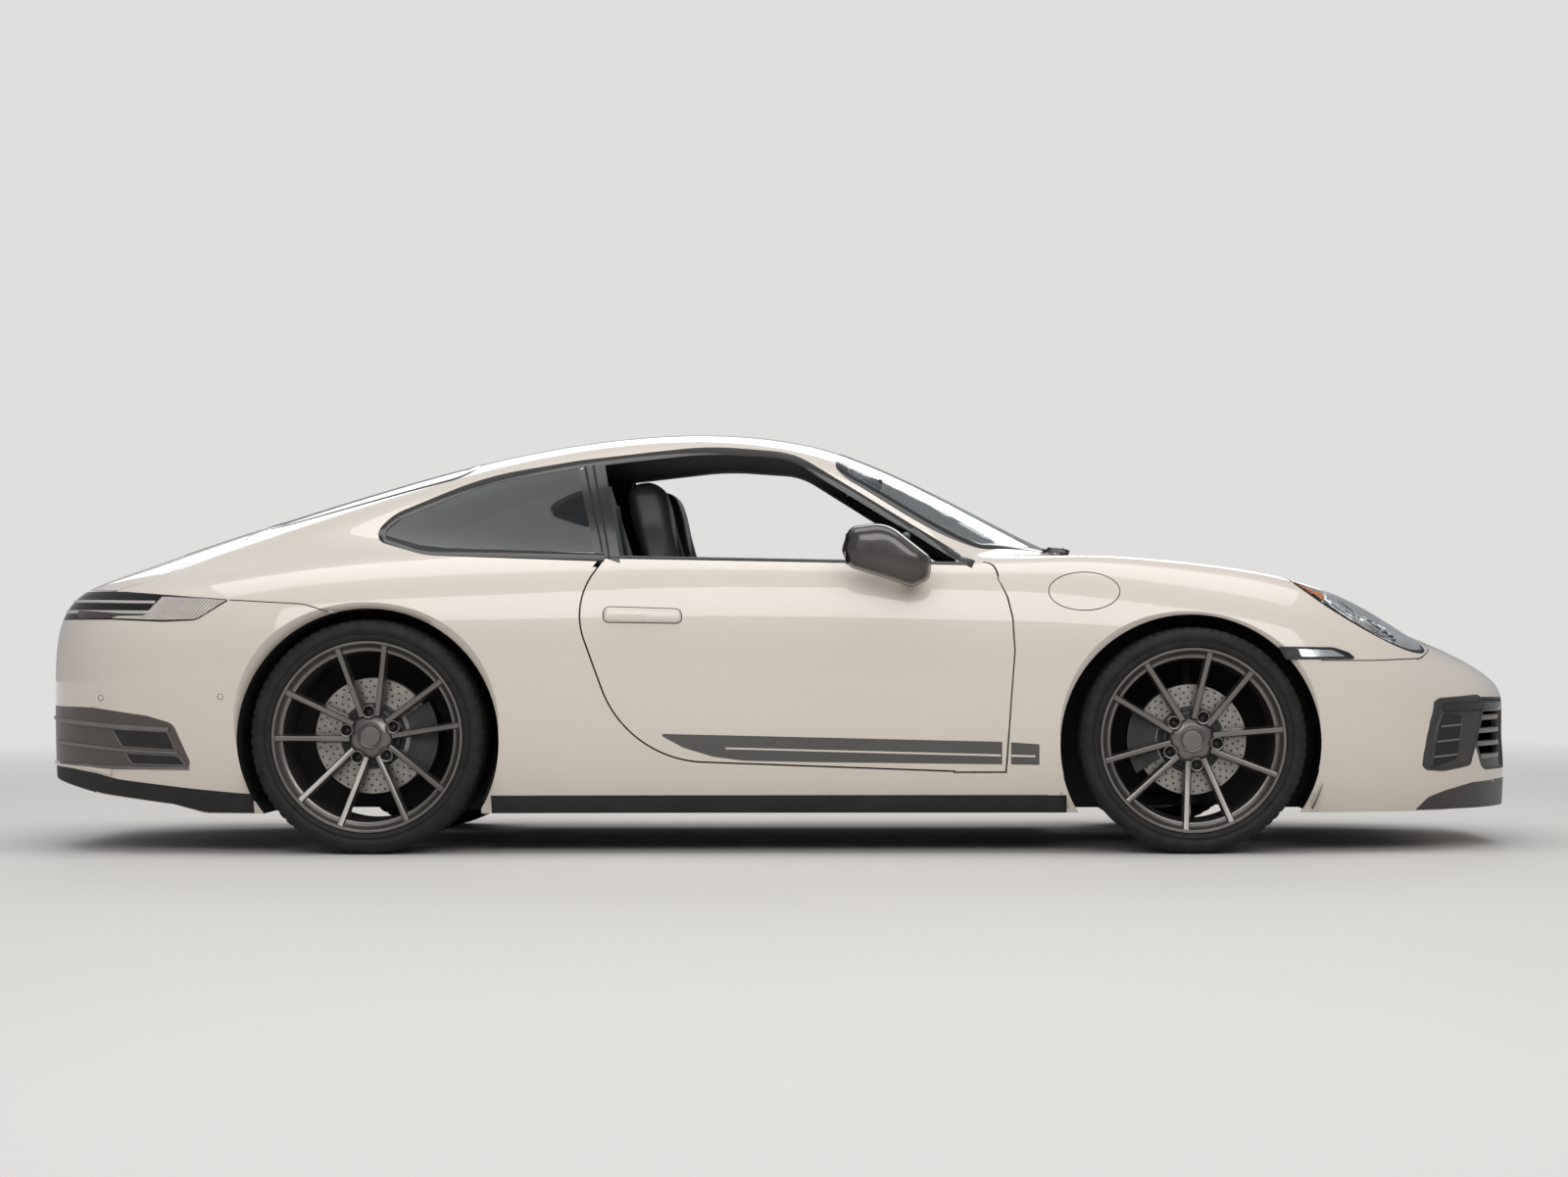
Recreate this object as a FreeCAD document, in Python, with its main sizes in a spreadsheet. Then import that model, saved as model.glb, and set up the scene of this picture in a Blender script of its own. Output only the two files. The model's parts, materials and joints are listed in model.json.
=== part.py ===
"""Two-door rear-engined coupe, life size, in millimetres.

X runs forward, Y to the car's left and Z up. The origin lies on the ground at mid length.
"""
import FreeCAD, Part
import math
import os
import re
from types import SimpleNamespace
from FreeCAD import Vector

NODES_FOLDER = "parts"

# Driving dimensions: name, value, meaning
SIZES = [
    ("body_length", 4519, "overall length"),
    ("body_width", 1852, "overall width without mirrors"),
    ("body_height", 1296, "height of the roof over the ground"),
    ("wheelbase", 2450, "axle to axle"),
    ("front_overhang", 1011, "front axle to the tip of the nose"),
    ("underside", 118, "height of the flat underside"),
    ("skin_wall", 32, "thickness of roof, pillars and lids"),
    ("glass_wall", 7, "thickness of the glass"),
    ("shut_gap", 5, "gap round what opens"),
    ("door_inner_y", 722, "inner face of the door"),
    ("hinge_x", 621, "door hinge ahead of mid length"),
    ("hinge_y", 862, "door hinge from the middle"),
    ("hinge_pin", 6, "radius of the hinge pins"),
    ("pin_play", 0.3, "gap between a pin or shaft and its bore"),
    ("cabin_half", 722, "half width of the cabin"),
    ("cabin_front", 700, "front of the footwell"),
    ("cabin_rear", -1000, "rear bulkhead"),
    ("cabin_floor", 180, "top of the floor"),
    ("shelf_height", 885, "parcel shelf and scuttle height"),
    ("shelf_rear", -1340, "rear end of the parcel shelf"),
    ("crown_gap", 4, "extra gap behind the crown of the front lid"),
    ("intake_depth", 75, "depth of the nose intakes"),
    ("wall", 40, "thickness of floors and bulkheads"),
    ("tub_half", 400, "half width of the luggage tub"),
    ("tub_nose_gap", 459.5, "front wall of the luggage tub behind the nose"),
    ("tub_rear", 1010, "rear wall of the luggage tub"),
    ("tub_floor", 300, "floor of the luggage tub"),
    ("bay_half", 480, "half width of the engine bay"),
    ("bay_tail_gap", 199.5, "rear wall of the engine bay ahead of the tail"),
    ("well_inner_front", 470, "inner wall of the front wheel well"),
    ("well_inner_rear", 575, "inner wall of the rear wheel well"),
    ("arch_front", 385, "radius of the front wheel arch"),
    ("arch_rear", 392, "radius of the rear wheel arch"),
    ("well_room", 30, "extra radius of the front well behind its arch"),
    ("arch_band", 36, "width of the bevelled band round an arch"),
    ("front_tyre", 335, "radius of the front tyre"),
    ("front_tread", 245, "width of the front tyre"),
    ("front_track", 1580, "front track"),
    ("front_flange", 274, "radius of the front rim"),
    ("front_disc", 165, "radius of the front brake disc"),
    ("rear_tyre", 350, "radius of the rear tyre"),
    ("rear_tread", 300, "width of the rear tyre"),
    ("rear_track", 1528, "rear track"),
    ("rear_flange", 286, "radius of the rear rim"),
    ("rear_disc", 175, "radius of the rear brake disc"),
    ("lug_circle", 65, "radius of the wheel bolt circle"),
    ("spindle", 20, "radius of the wheel spindle"),
    ("ball_low_y", 735, "lower ball joint from the middle"),
    ("ball_low_z", 175, "height of the lower ball joint"),
    ("ball_top_y", 590, "strut top from the middle"),
    ("ball_top_z", 690, "height of the strut top"),
    ("seat_y", 360, "middle of a front seat from the middle of the car"),
    ("seat_width", 440, "width of a front seat"),
    ("wheel_hub_x", 330, "middle of the steering wheel"),
    ("wheel_hub_z", 815, "height of the steering wheel"),
    ("steering_radius", 180, "radius of the steering wheel"),
    ("engine_half", 330, "half width of the engine"),
    ("engine_back", 748, "rear face of the engine behind the rear axle"),
    ("gearbox_half", 180, "half width of the gearbox"),
    ("gearbox_front", 161, "front of the gearbox ahead of the rear axle"),
    ("gearbox_back", 218, "rear end of the gearbox behind the rear axle"),
]

doc = FreeCAD.newDocument("Coupe")
sheet = doc.addObject("Spreadsheet::Sheet", "Sizes")
for row, (alias, value, meaning) in enumerate(SIZES, 1):
    sheet.set("A%d" % row, alias)
    sheet.set("B%d" % row, str(value))
    sheet.set("C%d" % row, meaning)
    sheet.setAlias("B%d" % row, alias)
doc.recompute()
NAMES = [row[0] for row in SIZES]
size = SimpleNamespace(**{name: float(getattr(sheet, name)) for name in NAMES})

# Places that follow from the driving dimensions
front_axle = size.body_length / 2 - size.front_overhang
rear_axle = front_axle - size.wheelbase
nose = size.body_length / 2
tail = -nose
half_width = size.body_width / 2

# The skin and every outline on it are drawn on a car of these sizes and stretched to the sheet
DRAWN = SimpleNamespace(nose=2259.5, front=1248.5, rear=-1201.5, half=926, top=1296)


def at_x(x):
    """Stretch a drawn length coordinate, piece by piece, between tail, axles and nose."""
    if x > DRAWN.front:
        return front_axle + (x - DRAWN.front) * (nose - front_axle) / (DRAWN.nose - DRAWN.front)
    if x < DRAWN.rear:
        return rear_axle + (x - DRAWN.rear) * (rear_axle - tail) / (DRAWN.nose + DRAWN.rear)
    return rear_axle + (x - DRAWN.rear) * (front_axle - rear_axle) / (DRAWN.front - DRAWN.rear)


def at_y(y):
    return y * half_width / DRAWN.half


def at_z(z):
    """Heights stretch above the underside."""
    drawn_low = 118
    return size.underside + (z - drawn_low) * (size.body_height - size.underside) / (DRAWN.top - drawn_low)


# Places that stretch with the skin
hinge_x = at_x(size.hinge_x)
cabin_front = at_x(size.cabin_front)
cabin_rear = at_x(size.cabin_rear)
shelf_rear = at_x(size.shelf_rear)
shelf_height = at_z(size.shelf_height)
tub_rear = at_x(size.tub_rear)
tub_front = nose - size.tub_nose_gap
bay_rear = tail + size.bay_tail_gap


# Document helpers

def bound(text):
    """Name the sheet in front of every alias of an expression."""
    return re.sub(r"[a-z_]+", lambda word: "Sizes." + word.group() if word.group() in NAMES else word.group(), text)


def feature(name, shape):
    item = doc.addObject("Part::Feature", name)
    item.Shape = shape
    return item


def joined(kind, name, base, tool):
    item = doc.addObject(kind, name)
    item.Base = base
    item.Tool = tool
    doc.recompute()
    return item


def fuse(name, items):
    item = doc.addObject("Part::MultiFuse", name)
    item.Shapes = items
    doc.recompute()
    return item


def mirrored(name, source):
    """The same piece on the car's other side."""
    item = doc.addObject("Part::Mirroring", name)
    item.Source = source
    item.Base = Vector(0, 0, 0)
    item.Normal = Vector(0, 1, 0)
    doc.recompute()
    return item


def block(name, x, y, z):
    """A box between two expressions of the sheet on each axis."""
    item = doc.addObject("Part::Box", name)
    for side, axis, (low, high) in (("Length", "x", x), ("Width", "y", y), ("Height", "z", z)):
        item.setExpression(side, bound("(%s) - (%s)" % (high, low)))
        item.setExpression("Placement.Base." + axis, bound(low))
    doc.recompute()
    return item


def rounded(points):
    """A closed outline in the plane: each point is (a, b) or (a, b, corner radius)."""
    flat = [Vector(point[0], point[1], 0) for point in points]
    radii = [point[2] if len(point) > 2 else 0 for point in points]
    ends = []
    for index, corner in enumerate(flat):
        before = (flat[index - 1] - corner).normalize()
        after = (flat[(index + 1) % len(flat)] - corner).normalize()
        half = before.getAngle(after) / 2
        reach = radii[index] / math.tan(half)
        middle = (before + after)
        if radii[index] and middle.Length > 1e-9:
            crest = corner + middle.normalize() * (radii[index] / math.sin(half) - radii[index])
            ends.append((corner + before * reach, crest, corner + after * reach))
        else:
            ends.append((corner, None, corner))
    edges = []
    for index, (start, crest, end) in enumerate(ends):
        if crest is not None:
            edges.append(Part.Arc(start, crest, end).toShape())
        following = ends[(index + 1) % len(ends)][0]
        if (following - end).Length > 1e-6:
            edges.append(Part.LineSegment(end, following).toShape())
    return Part.Wire(edges)


def grown(points, gap):
    """The outline moved outwards by a gap."""
    wire = rounded(points)
    return wire if not gap else wire.makeOffset2D(gap)


def side_prism(points, y_low, y_high, gap=0):
    """An outline in the side view, drawn as (x, z, radius), pushed through from y_low to y_high."""
    drawn = [(at_x(p[0]), at_z(p[1])) + tuple(p[2:]) for p in points]
    wire = grown(drawn, gap)
    face = Part.Face(wire)
    face.rotate(Vector(), Vector(1, 0, 0), 90)
    face.translate(Vector(0, y_low, 0))
    return face.extrude(Vector(0, y_high - y_low, 0))


def plan_prism(points, z_low, z_high, gap=0, lean=0, lean_from=800):
    """An outline in the plan view, drawn as (x, y, radius), pushed up with an X lean from a height."""
    drawn = [(at_x(p[0]), at_y(p[1])) + tuple(p[2:]) for p in points]
    face = Part.Face(grown(drawn, gap))
    rise = z_high - z_low
    face.translate(Vector(lean * (z_low - at_z(lean_from)), 0, z_low))
    return face.extrude(Vector(lean * rise, 0, rise))


def front_prism(points, x_low, x_high, gap=0):
    """An outline in the front view, drawn as (y, z, radius), pushed through from x_low to x_high."""
    drawn = [(at_y(p[0]), at_z(p[1])) + tuple(p[2:]) for p in points]
    face = Part.Face(grown(drawn, gap))
    face.rotate(Vector(), Vector(1, 1, 1), 120)
    face.translate(Vector(x_low, 0, 0))
    return face.extrude(Vector(x_high - x_low, 0, 0))


# The outer skin: half sections from tail to nose. Each row is x, the height of the centre line,
# and (y, z) of eleven named lines: inner, outer, rail in, rail out, glass, belt, shoulder, flank,
# door, sill and edge. The edge lies at the underside.
SECTIONS = [
    (-2259.5, 600, (60, 600), (120, 598), (160, 594), (190, 588), (215, 578), (235, 562), (250, 535), (258, 480),
     (258, 380), (250, 260), 235),
    (-2259.5, 650, (110, 650), (210, 646), (280, 640), (325, 630), (360, 615), (385, 590), (402, 550), (410, 480),
     (408, 360), (398, 240), 370),
    (-2225, 735, (150, 734), (290, 728), (385, 720), (445, 710), (490, 695), (525, 668), (550, 620), (562, 530),
     (560, 390), (545, 240), 505),
    (-2160, 812, (190, 810), (350, 802), (460, 793), (530, 783), (585, 768), (630, 735), (660, 680), (675, 570),
     (672, 410), (655, 240), 605),
    (-2040, 858, (220, 855), (400, 843), (525, 830), (605, 818), (670, 800), (730, 765), (775, 705), (800, 590),
     (798, 420), (780, 240), 720),
    (-1800, 950, (240, 944), (420, 922), (540, 896), (615, 873), (685, 848), (765, 815), (845, 765), (897, 650),
     (893, 440), (872, 240), 800),
    (-1480, 1053, (240, 1045), (415, 1016), (525, 978), (590, 945), (655, 908), (745, 880), (855, 842), (930, 710),
     (920, 460), (895, 240), 825),
    (-1150, 1152, (240, 1145), (420, 1118), (535, 1078), (600, 1035), (665, 968), (745, 912), (860, 868), (935, 725),
     (922, 470), (895, 240), 825),
    (-750, 1250, (240, 1245), (430, 1226), (550, 1188), (612, 1135), (690, 1010), (762, 908), (845, 862), (905, 715),
     (896, 470), (880, 235), 812),
    (-300, 1303, (240, 1298), (430, 1280), (550, 1250), (612, 1190), (692, 1040), (772, 898), (842, 862), (888, 710),
     (884, 470), (876, 232), 800),
    (60, 1277, (240, 1271), (430, 1248), (550, 1212), (612, 1150), (694, 1010), (776, 886), (842, 855), (886, 705),
     (884, 465), (876, 228), 800),
    (290, 1204, (240, 1196), (420, 1168), (540, 1125), (612, 1068), (694, 960), (778, 880), (842, 850), (885, 700),
     (884, 460), (876, 225), 800),
    (560, 1072, (240, 1062), (420, 1030), (550, 980), (634, 930), (704, 893), (780, 874), (842, 845), (887, 695),
     (886, 455), (876, 222), 800),
    (800, 940, (240, 934), (430, 915), (570, 890), (650, 880), (712, 885), (778, 882), (843, 845), (893, 695),
     (890, 455), (878, 220), 803),
    (960, 872, (240, 868), (430, 855), (560, 845), (632, 862), (692, 892), (764, 893), (845, 845), (903, 695),
     (898, 455), (882, 220), 810),
    (1250, 825, (240, 820), (430, 806), (550, 800), (615, 822), (675, 866), (752, 872), (846, 828), (922, 690),
     (912, 460), (890, 225), 820),
    (1570, 770, (240, 765), (420, 752), (530, 746), (590, 766), (655, 818), (738, 828), (830, 775), (905, 640),
     (905, 450), (885, 235), 815),
    (1800, 712, (230, 707), (390, 694), (490, 684), (550, 690), (625, 722), (708, 728), (796, 670), (860, 540),
     (862, 400), (845, 235), 775),
    (1990, 645, (215, 641), (355, 630), (450, 620), (515, 612), (590, 600), (660, 570), (722, 510), (765, 425),
     (768, 320), (752, 215), 690),
    (2130, 582, (180, 579), (300, 571), (385, 562), (445, 552), (510, 536), (565, 508), (612, 460), (640, 390),
     (642, 300), (628, 205), 575),
    (2215, 530, (140, 528), (235, 522), (305, 515), (355, 506), (405, 492), (445, 470), (475, 430), (492, 370),
     (492, 290), (480, 200), 435),
    (2259.5, 488, (95, 487), (165, 484), (215, 480), (255, 474), (290, 464), (318, 448), (338, 415), (350, 360),
     (350, 280), (340, 200), 310),
    (2259.5, 450, (55, 450), (100, 448), (135, 445), (160, 440), (182, 432), (200, 418), (212, 392), (218, 345),
     (218, 275), (212, 205), 195),
]


def skin_net():
    """Control points of the skin, row by row from the tail, each row from right sill to left sill."""
    net = []
    for row in SECTIONS:
        half = [(0, row[1])] + list(row[2:-1]) + [(row[-1], 118)]
        left = [Vector(at_x(row[0]), at_y(y), at_z(z)) for y, z in half]
        right = [Vector(p.x, -p.y, p.z) for p in reversed(left[1:])]
        net.append(right + left)
    return net


def knots(count, degree=3):
    """Even knots, clamped at both ends, with their multiplicities."""
    spans = count - degree
    return [float(i) for i in range(spans + 1)], [degree + 1] + [1] * (spans - 1) + [degree + 1]


def skin_solid(inset=0):
    """The whole car's outer form as a closed solid, moved inwards by an inset."""
    net = skin_net()
    rows, columns = len(net), len(net[0])
    moved = []
    for i in range(rows):
        line = []
        for j in range(columns):
            along = net[min(i + 1, rows - 1)][j] - net[max(i - 1, 0)][j]
            if i in (0, 1):
                along = net[1][j] - net[0][j]
            if i in (rows - 2, rows - 1):
                along = net[rows - 1][j] - net[rows - 2][j]
            across = net[i][min(j + 1, columns - 1)] - net[i][max(j - 1, 0)]
            outward = along.cross(across)
            outward.normalize()
            point = net[i][j] - outward * inset
            if j in (0, columns - 1):
                point.z = size.underside + inset
            line.append(point)
        moved.append(line)
    u_knots, u_mults = knots(rows)
    v_knots, v_mults = knots(columns)
    surface = Part.BSplineSurface()
    surface.buildFromPolesMultsKnots(moved, u_mults, v_mults, u_knots, v_knots, False, False, 3, 3)
    skin = surface.toShape()
    edges = skin.Edges
    flat = [edge for edge in edges if edge.BoundBox.ZLength < 0.01]
    ends = [edge for edge in edges if edge.BoundBox.XLength < 0.01]
    closers = []
    for end in ends:
        first, last = end.Vertexes[0].Point, end.Vertexes[-1].Point
        closers.append(Part.LineSegment(first, last).toShape())
    faces = [skin]
    for end, closer in zip(ends, closers):
        faces.append(Part.Face(Part.Wire(Part.__sortEdges__([end, closer]))))
    faces.append(Part.Face(Part.Wire(Part.__sortEdges__(flat + closers))))
    shell = Part.Shell(faces)
    shell.sewShape()
    solid = Part.Solid(shell)
    if solid.Volume < 0:
        solid.reverse()
    return solid


# Forms that the panels are cut from
outer = feature("outer_form", skin_solid())
under_glass = feature("form_under_glass", skin_solid(size.glass_wall))
inner = feature("inner_form", skin_solid(size.skin_wall))
FAR = size.body_width
WALL = size.wall

# Side outlines: (x, z, corner radius)
DOOR = [(625, 900), (625, 243), (-425, 283, 330), (-590, 742, 220), (-481, 905)]
DOOR_WINDOW = [(-466, 868), (-532, 1171, 20), (-200, 1209, 900), (50, 1190, 220), (578, 862, 10)]
QUARTER_WINDOW = [(-518, 898, 8), (-592, 1164, 15), (-880, 1120, 900), (-1150, 1006, 120), (-1192, 958, 12),
                  (-1040, 914, 300)]
# The door's leading edge turns about its hinge: (reach from the hinge, height)
DOOR_NOSE = [(74, 243), (88, 396), (104, 600), (97, 697), (80, 761), (56, 812), (58, 845), (70, 900)]
BELT = [(-2300, 905), (-900, 905), (-504, 889), (-262, 884), (193, 874), (624, 864), (2300, 864), (2300, 1500),
        (-2300, 1500)]
TAIL_LAMP = [(-2300, 702), (-2010, 702), (-1823, 694), (-1718, 698, 60), (-1619, 759, 3), (-1808, 775),
             (-1966, 787), (-2300, 793)]
REAR_SEAM = [(-2300, 759), (-1619, 759), (-1393, 746), (-1200, 700), (-1200, 0), (-2300, 0)]
REAR_INSERT = [(-2300, 440), (-2055, 437), (-1871, 413, 60), (-1788, 390, 40), (-1729, 254, 20), (-2034, 250, 30),
               (-2080, 100), (-2300, 100)]
FRONT_SEAM = [(1500, 569), (1780, 569), (1985, 579, 40), (2010, 760), (2300, 760), (2300, 0), (1500, 0)]
SILL = [(-870, 246), (-300, 246), (-300, 300), (640, 300), (640, 238), (870, 236), (870, 0), (-870, 0)]
NOSE_UNDER = [(2000, 0), (2000, 116), (2040, 121, 60), (2300, 168), (2300, 0)]
NOSE_HOLLOW = [(1490, 160), (2070, 175), (2070, 470), (1850, 535), (1490, 535)]
TAIL_UNDER = [(-1700, 0), (-1700, 116), (-1800, 145, 90), (-2030, 172, 90), (-2300, 230), (-2300, 0)]
FRONT_SHELF = [(880, 650), (1180, 650), (1300, 695), (1600, 660), (1900, 590), (2085, 505, 20), (2200, 700), (2200, 1000),
               (880, 1000)]
REAR_SHELF = [(-1600, 845), (-1800, 845), (-2030, 772), (-2400, 772), (-2400, 1200), (-1600, 1200)]

# Plan outlines: (x, y, corner radius)
WINDSCREEN = [(190, -552, 60), (204, 0, 3500), (190, 552, 60), (640, 668, 50), (835, 500, 400), (885, 0, 900),
              (835, -500, 400), (640, -668, 50)]
REAR_WINDOW = [(-935, 505, 70), (-935, -505, 70), (-1600, -425, 90), (-1600, 425, 90)]
FRONT_LID = [(905, -605, 40), (925, 0), (905, 605, 40), (1400, 575, 2500), (2050, 450, 130), (2108, 0, 1500),
             (2050, -450, 130), (1400, -575, 2500)]
REAR_LID = [(-1560, 400), (-1750, 560, 60), (-1850, 690, 60), (-2400, 690), (-2400, -690),
            (-1850, -690, 60), (-1750, -560, 60), (-1560, -400)]
FRAME = [(620, 900), (640, 745), (990, 612), (990, -612), (640, -745), (620, -900), (170, -900), (170, 900)]
FRONT_LEAN = 0.24
REAR_LEAN = 0.25
REAR_LID_EDGE = [(-1740, 770), (-1582, 1086), (-2400, 1086), (-2400, 770)]

# Front outlines: (y, z, corner radius)
INTAKE = [(290, 452, 25), (655, 458, 40), (680, 380, 40), (600, 236, 50), (330, 236, 40), (262, 330, 60)]
LOW_GRILLE = [(-230, 250, 25), (230, 250, 25), (200, 178, 20), (-200, 178, 20)]
HEADLAMP = (690, 706, 117)


def box_shape(x, y, z):
    return Part.makeBox(x[1] - x[0], y[1] - y[0], z[1] - z[0], Vector(x[0], y[0], z[0]))


def rod(radius, start, end):
    way = end - start
    return Part.makeCylinder(radius, way.Length, start, way)


def turned(points, at, axis=Vector(0, 0, 1), gap=0):
    """A solid of revolution from (radius, height) points about an axis, grown by a gap."""
    profile = [(0, points[0][1] - gap), (points[0][0] + gap, points[0][1] - gap)]
    profile += [(r + gap, h) for r, h in points[1:-1]]
    profile += [(points[-1][0] + gap, points[-1][1] + gap), (0, points[-1][1] + gap)]
    corners = [Vector(r, 0, h) for r, h in profile]
    solid = Part.Face(Part.makePolygon(corners + corners[:1])).revolve(Vector(), Vector(0, 0, 1), 360)
    solid.Placement = FreeCAD.Placement(at, FreeCAD.Rotation(Vector(0, 0, 1), axis))
    return solid


def largest(shape):
    """Drop slivers that a cut leaves beside the piece."""
    solids = sorted(shape.Solids, key=lambda solid: -solid.Volume)
    kept = [solid for solid in solids if solid.Volume > 0.02 * solids[0].Volume]
    return kept[0] if len(kept) == 1 else Part.makeCompound(kept)


def piece(name, zone, holes):
    """Part of the outer form inside a zone, less the holes."""
    shape = outer.Shape.common(zone)
    for hole in holes:
        shape = shape.cut(hole)
    return feature(name, largest(shape))


def both_sides(shape):
    return shape.fuse(shape.mirror(Vector(), Vector(0, 1, 0)))


def door_zone(gap, deep_gap, y_low):
    """What the left door takes up, larger by a gap at the skin and by a deeper one behind it."""
    step_y = size.hinge_y - 30
    skin_part = side_prism(DOOR, step_y, FAR, gap)
    deep_part = side_prism(DOOR, y_low, step_y, deep_gap)
    ahead = box_shape((hinge_x, 2 * nose), (-FAR, FAR), (-FAR, FAR))
    nose_points = [(r, at_z(z)) for r, z in DOOR_NOSE]
    turned_edge = turned(nose_points, Vector(hinge_x, size.hinge_y, 0), gap=gap)
    rear_part = skin_part.fuse(deep_part).cut(ahead)
    return rear_part.fuse(turned_edge)


door_solid = door_zone(0, 0, size.door_inner_y)
door_hole = door_zone(size.shut_gap, size.shut_gap + 11, size.door_inner_y - 60)
above_belt = side_prism(BELT, -FAR, FAR)

# The inside: cabin, luggage tub, engine bay and wheel wells
footwell = box_shape((cabin_rear, cabin_front), (-size.cabin_half, size.cabin_half),
                     (size.cabin_floor, size.body_height))
upper = box_shape((shelf_rear, at_x(1000)), (-FAR, FAR), (shelf_height, size.body_height))
cabin_void = footwell.fuse(upper).common(inner.Shape)
tub_void = box_shape((tub_rear, tub_front), (-size.tub_half, size.tub_half), (size.tub_floor, at_z(1000)))
plenum = box_shape((cabin_front + WALL, tub_rear - WALL), (-size.tub_half, size.tub_half),
                   (size.tub_floor, at_z(840)))
bay_low = box_shape((bay_rear, cabin_rear - WALL), (-size.bay_half, size.bay_half),
                    (0, shelf_height - WALL))
bay_high = box_shape((at_x(-1710), shelf_rear - WALL), (-size.bay_half + WALL, size.bay_half - WALL),
                     (shelf_height - WALL - 1, size.body_height)).common(inner.Shape)
bay_void = bay_low.fuse(bay_high)

lid_hole_even = plan_prism(FRONT_LID, at_z(400), at_z(1000), size.shut_gap + 1, FRONT_LEAN)
lid_hole = lid_hole_even.fuse(lid_hole_even.translated(Vector(-size.crown_gap, 0, 0)))
under_lid = side_prism(FRONT_SHELF, -FAR, FAR).common(lid_hole)
rear_hole = plan_prism(REAR_LID, at_z(760), at_z(1200), size.shut_gap, REAR_LEAN, 930)
rear_hole = rear_hole.common(side_prism(REAR_LID_EDGE, -FAR, FAR, size.shut_gap))
lamp_band = side_prism(TAIL_LAMP, -FAR, FAR)
lamp_band_grown = side_prism(TAIL_LAMP, -FAR, FAR, size.shut_gap)
rear_shelf_cut = side_prism(REAR_SHELF, -FAR, FAR).common(rear_hole)


def well(x, z, radius, y_inner, y_skin):
    """A left wheel well with the bevelled band of its arch."""
    hole = Part.makeCylinder(radius, FAR, Vector(x, y_inner, z), Vector(0, 1, 0))
    depth = size.arch_band * 0.8
    band = Part.makeCone(radius, radius + 4 * size.arch_band, 4 * depth, Vector(x, y_skin - depth, z),
                         Vector(0, 1, 0))
    return hole.fuse(band)


front_well = well(front_axle - 6, at_z(322), size.arch_front, size.well_inner_front, at_y(912))
front_well = front_well.fuse(Part.makeCylinder(size.arch_front + size.well_room, at_y(860) - size.well_inner_front,
                                               Vector(front_axle - 6, size.well_inner_front, at_z(322)),
                                               Vector(0, 1, 0)))
rear_well = well(rear_axle, at_z(340), size.arch_rear, size.well_inner_rear, at_y(919))
lamp_centre = Vector(at_x(1560), at_y(HEADLAMP[0]), at_z(HEADLAMP[1]))
headlamp_hole = Part.makeCylinder(HEADLAMP[2], 700, lamp_centre, Vector(1, 0, 0))

roof_front = at_x(170)
roof_rear = at_x(-935)
side_window = side_prism(DOOR_WINDOW, -FAR, FAR)
quarter_window = side_prism(QUARTER_WINDOW, -FAR, FAR)
windscreen_hole = plan_prism(WINDSCREEN, at_z(700), at_z(1500))
rear_window_hole = plan_prism(REAR_WINDOW, at_z(900), at_z(1500))

# Glass lies flush in its frames
skin_shell = outer.Shape.cut(inner.Shape)
glass_skin = outer.Shape.cut(under_glass.Shape)
feature("windscreen", largest(glass_skin.common(windscreen_hole)))
feature("rear_window", largest(glass_skin.common(rear_window_hole)))
feature("quarter_windows", largest(glass_skin.common(quarter_window)))
windscreen_cut = skin_shell.common(windscreen_hole)
rear_window_cut = skin_shell.common(rear_window_hole)

# Roof and windscreen frame
roof_zone = box_shape((roof_rear, roof_front), (-FAR, FAR), (at_z(1085), FAR))
piece("roof_panel", roof_zone, [inner.Shape, side_window, quarter_window, windscreen_hole])
frame_zone = plan_prism(FRAME, at_z(700), at_z(1500)).common(above_belt).common(skin_shell)
piece("windscreen_frame", frame_zone, [side_window, windscreen_hole, lid_hole])

# Left wing with its inner panel and the pin of the front lid
bumper_zone = side_prism(FRONT_SEAM, -FAR, FAR)
tail_zone = side_prism(REAR_SEAM, -FAR, FAR)
sill_zone = side_prism(SILL, at_y(640), FAR)


floor_plate = box_shape((cabin_rear - WALL, cabin_front + WALL), (-at_y(640), at_y(640)),
                        (0, size.cabin_floor))


def skin_height(x, y):
    """Height of the outer skin over a point of the plan."""
    line = Part.makeLine(Vector(x, y, 0), Vector(x, y, 2 * FAR))
    return line.common(outer.Shape).BoundBox.ZMax


lid_hinge = Vector(at_x(1080), 0, skin_height(at_x(1080), at_y(575)) - size.skin_wall / 2)


def lid_pin(play, reach):
    """Hinge pin of the front lid, out of the wing's edge."""
    start = Vector(lid_hinge.x, at_y(645), lid_hinge.z)
    return Part.makeCylinder(size.hinge_pin + play, reach, start, Vector(0, -1, 0))


# Door hinges: two plates with eyes and pins on each pillar
hinge_heights = [at_z(380), at_z(620)]
PIN_LENGTH = 70
EYE_RADIUS = 11
PLATE = 9
hinge_parts = []
for height in hinge_heights:
    hinge_parts.append(box_shape((hinge_x - PLATE, hinge_x + PLATE), (at_y(600), size.hinge_y),
                                 (height - PLATE, height + PLATE)))
    hinge_parts.append(Part.makeCylinder(EYE_RADIUS, 2 * PLATE, Vector(hinge_x, size.hinge_y, height - PLATE)))
    hinge_parts.append(Part.makeCylinder(size.hinge_pin, PIN_LENGTH,
                                         Vector(hinge_x, size.hinge_y, height - PIN_LENGTH / 2)))
hinge_plates = hinge_parts[0].fuse(hinge_parts[1:])

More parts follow.
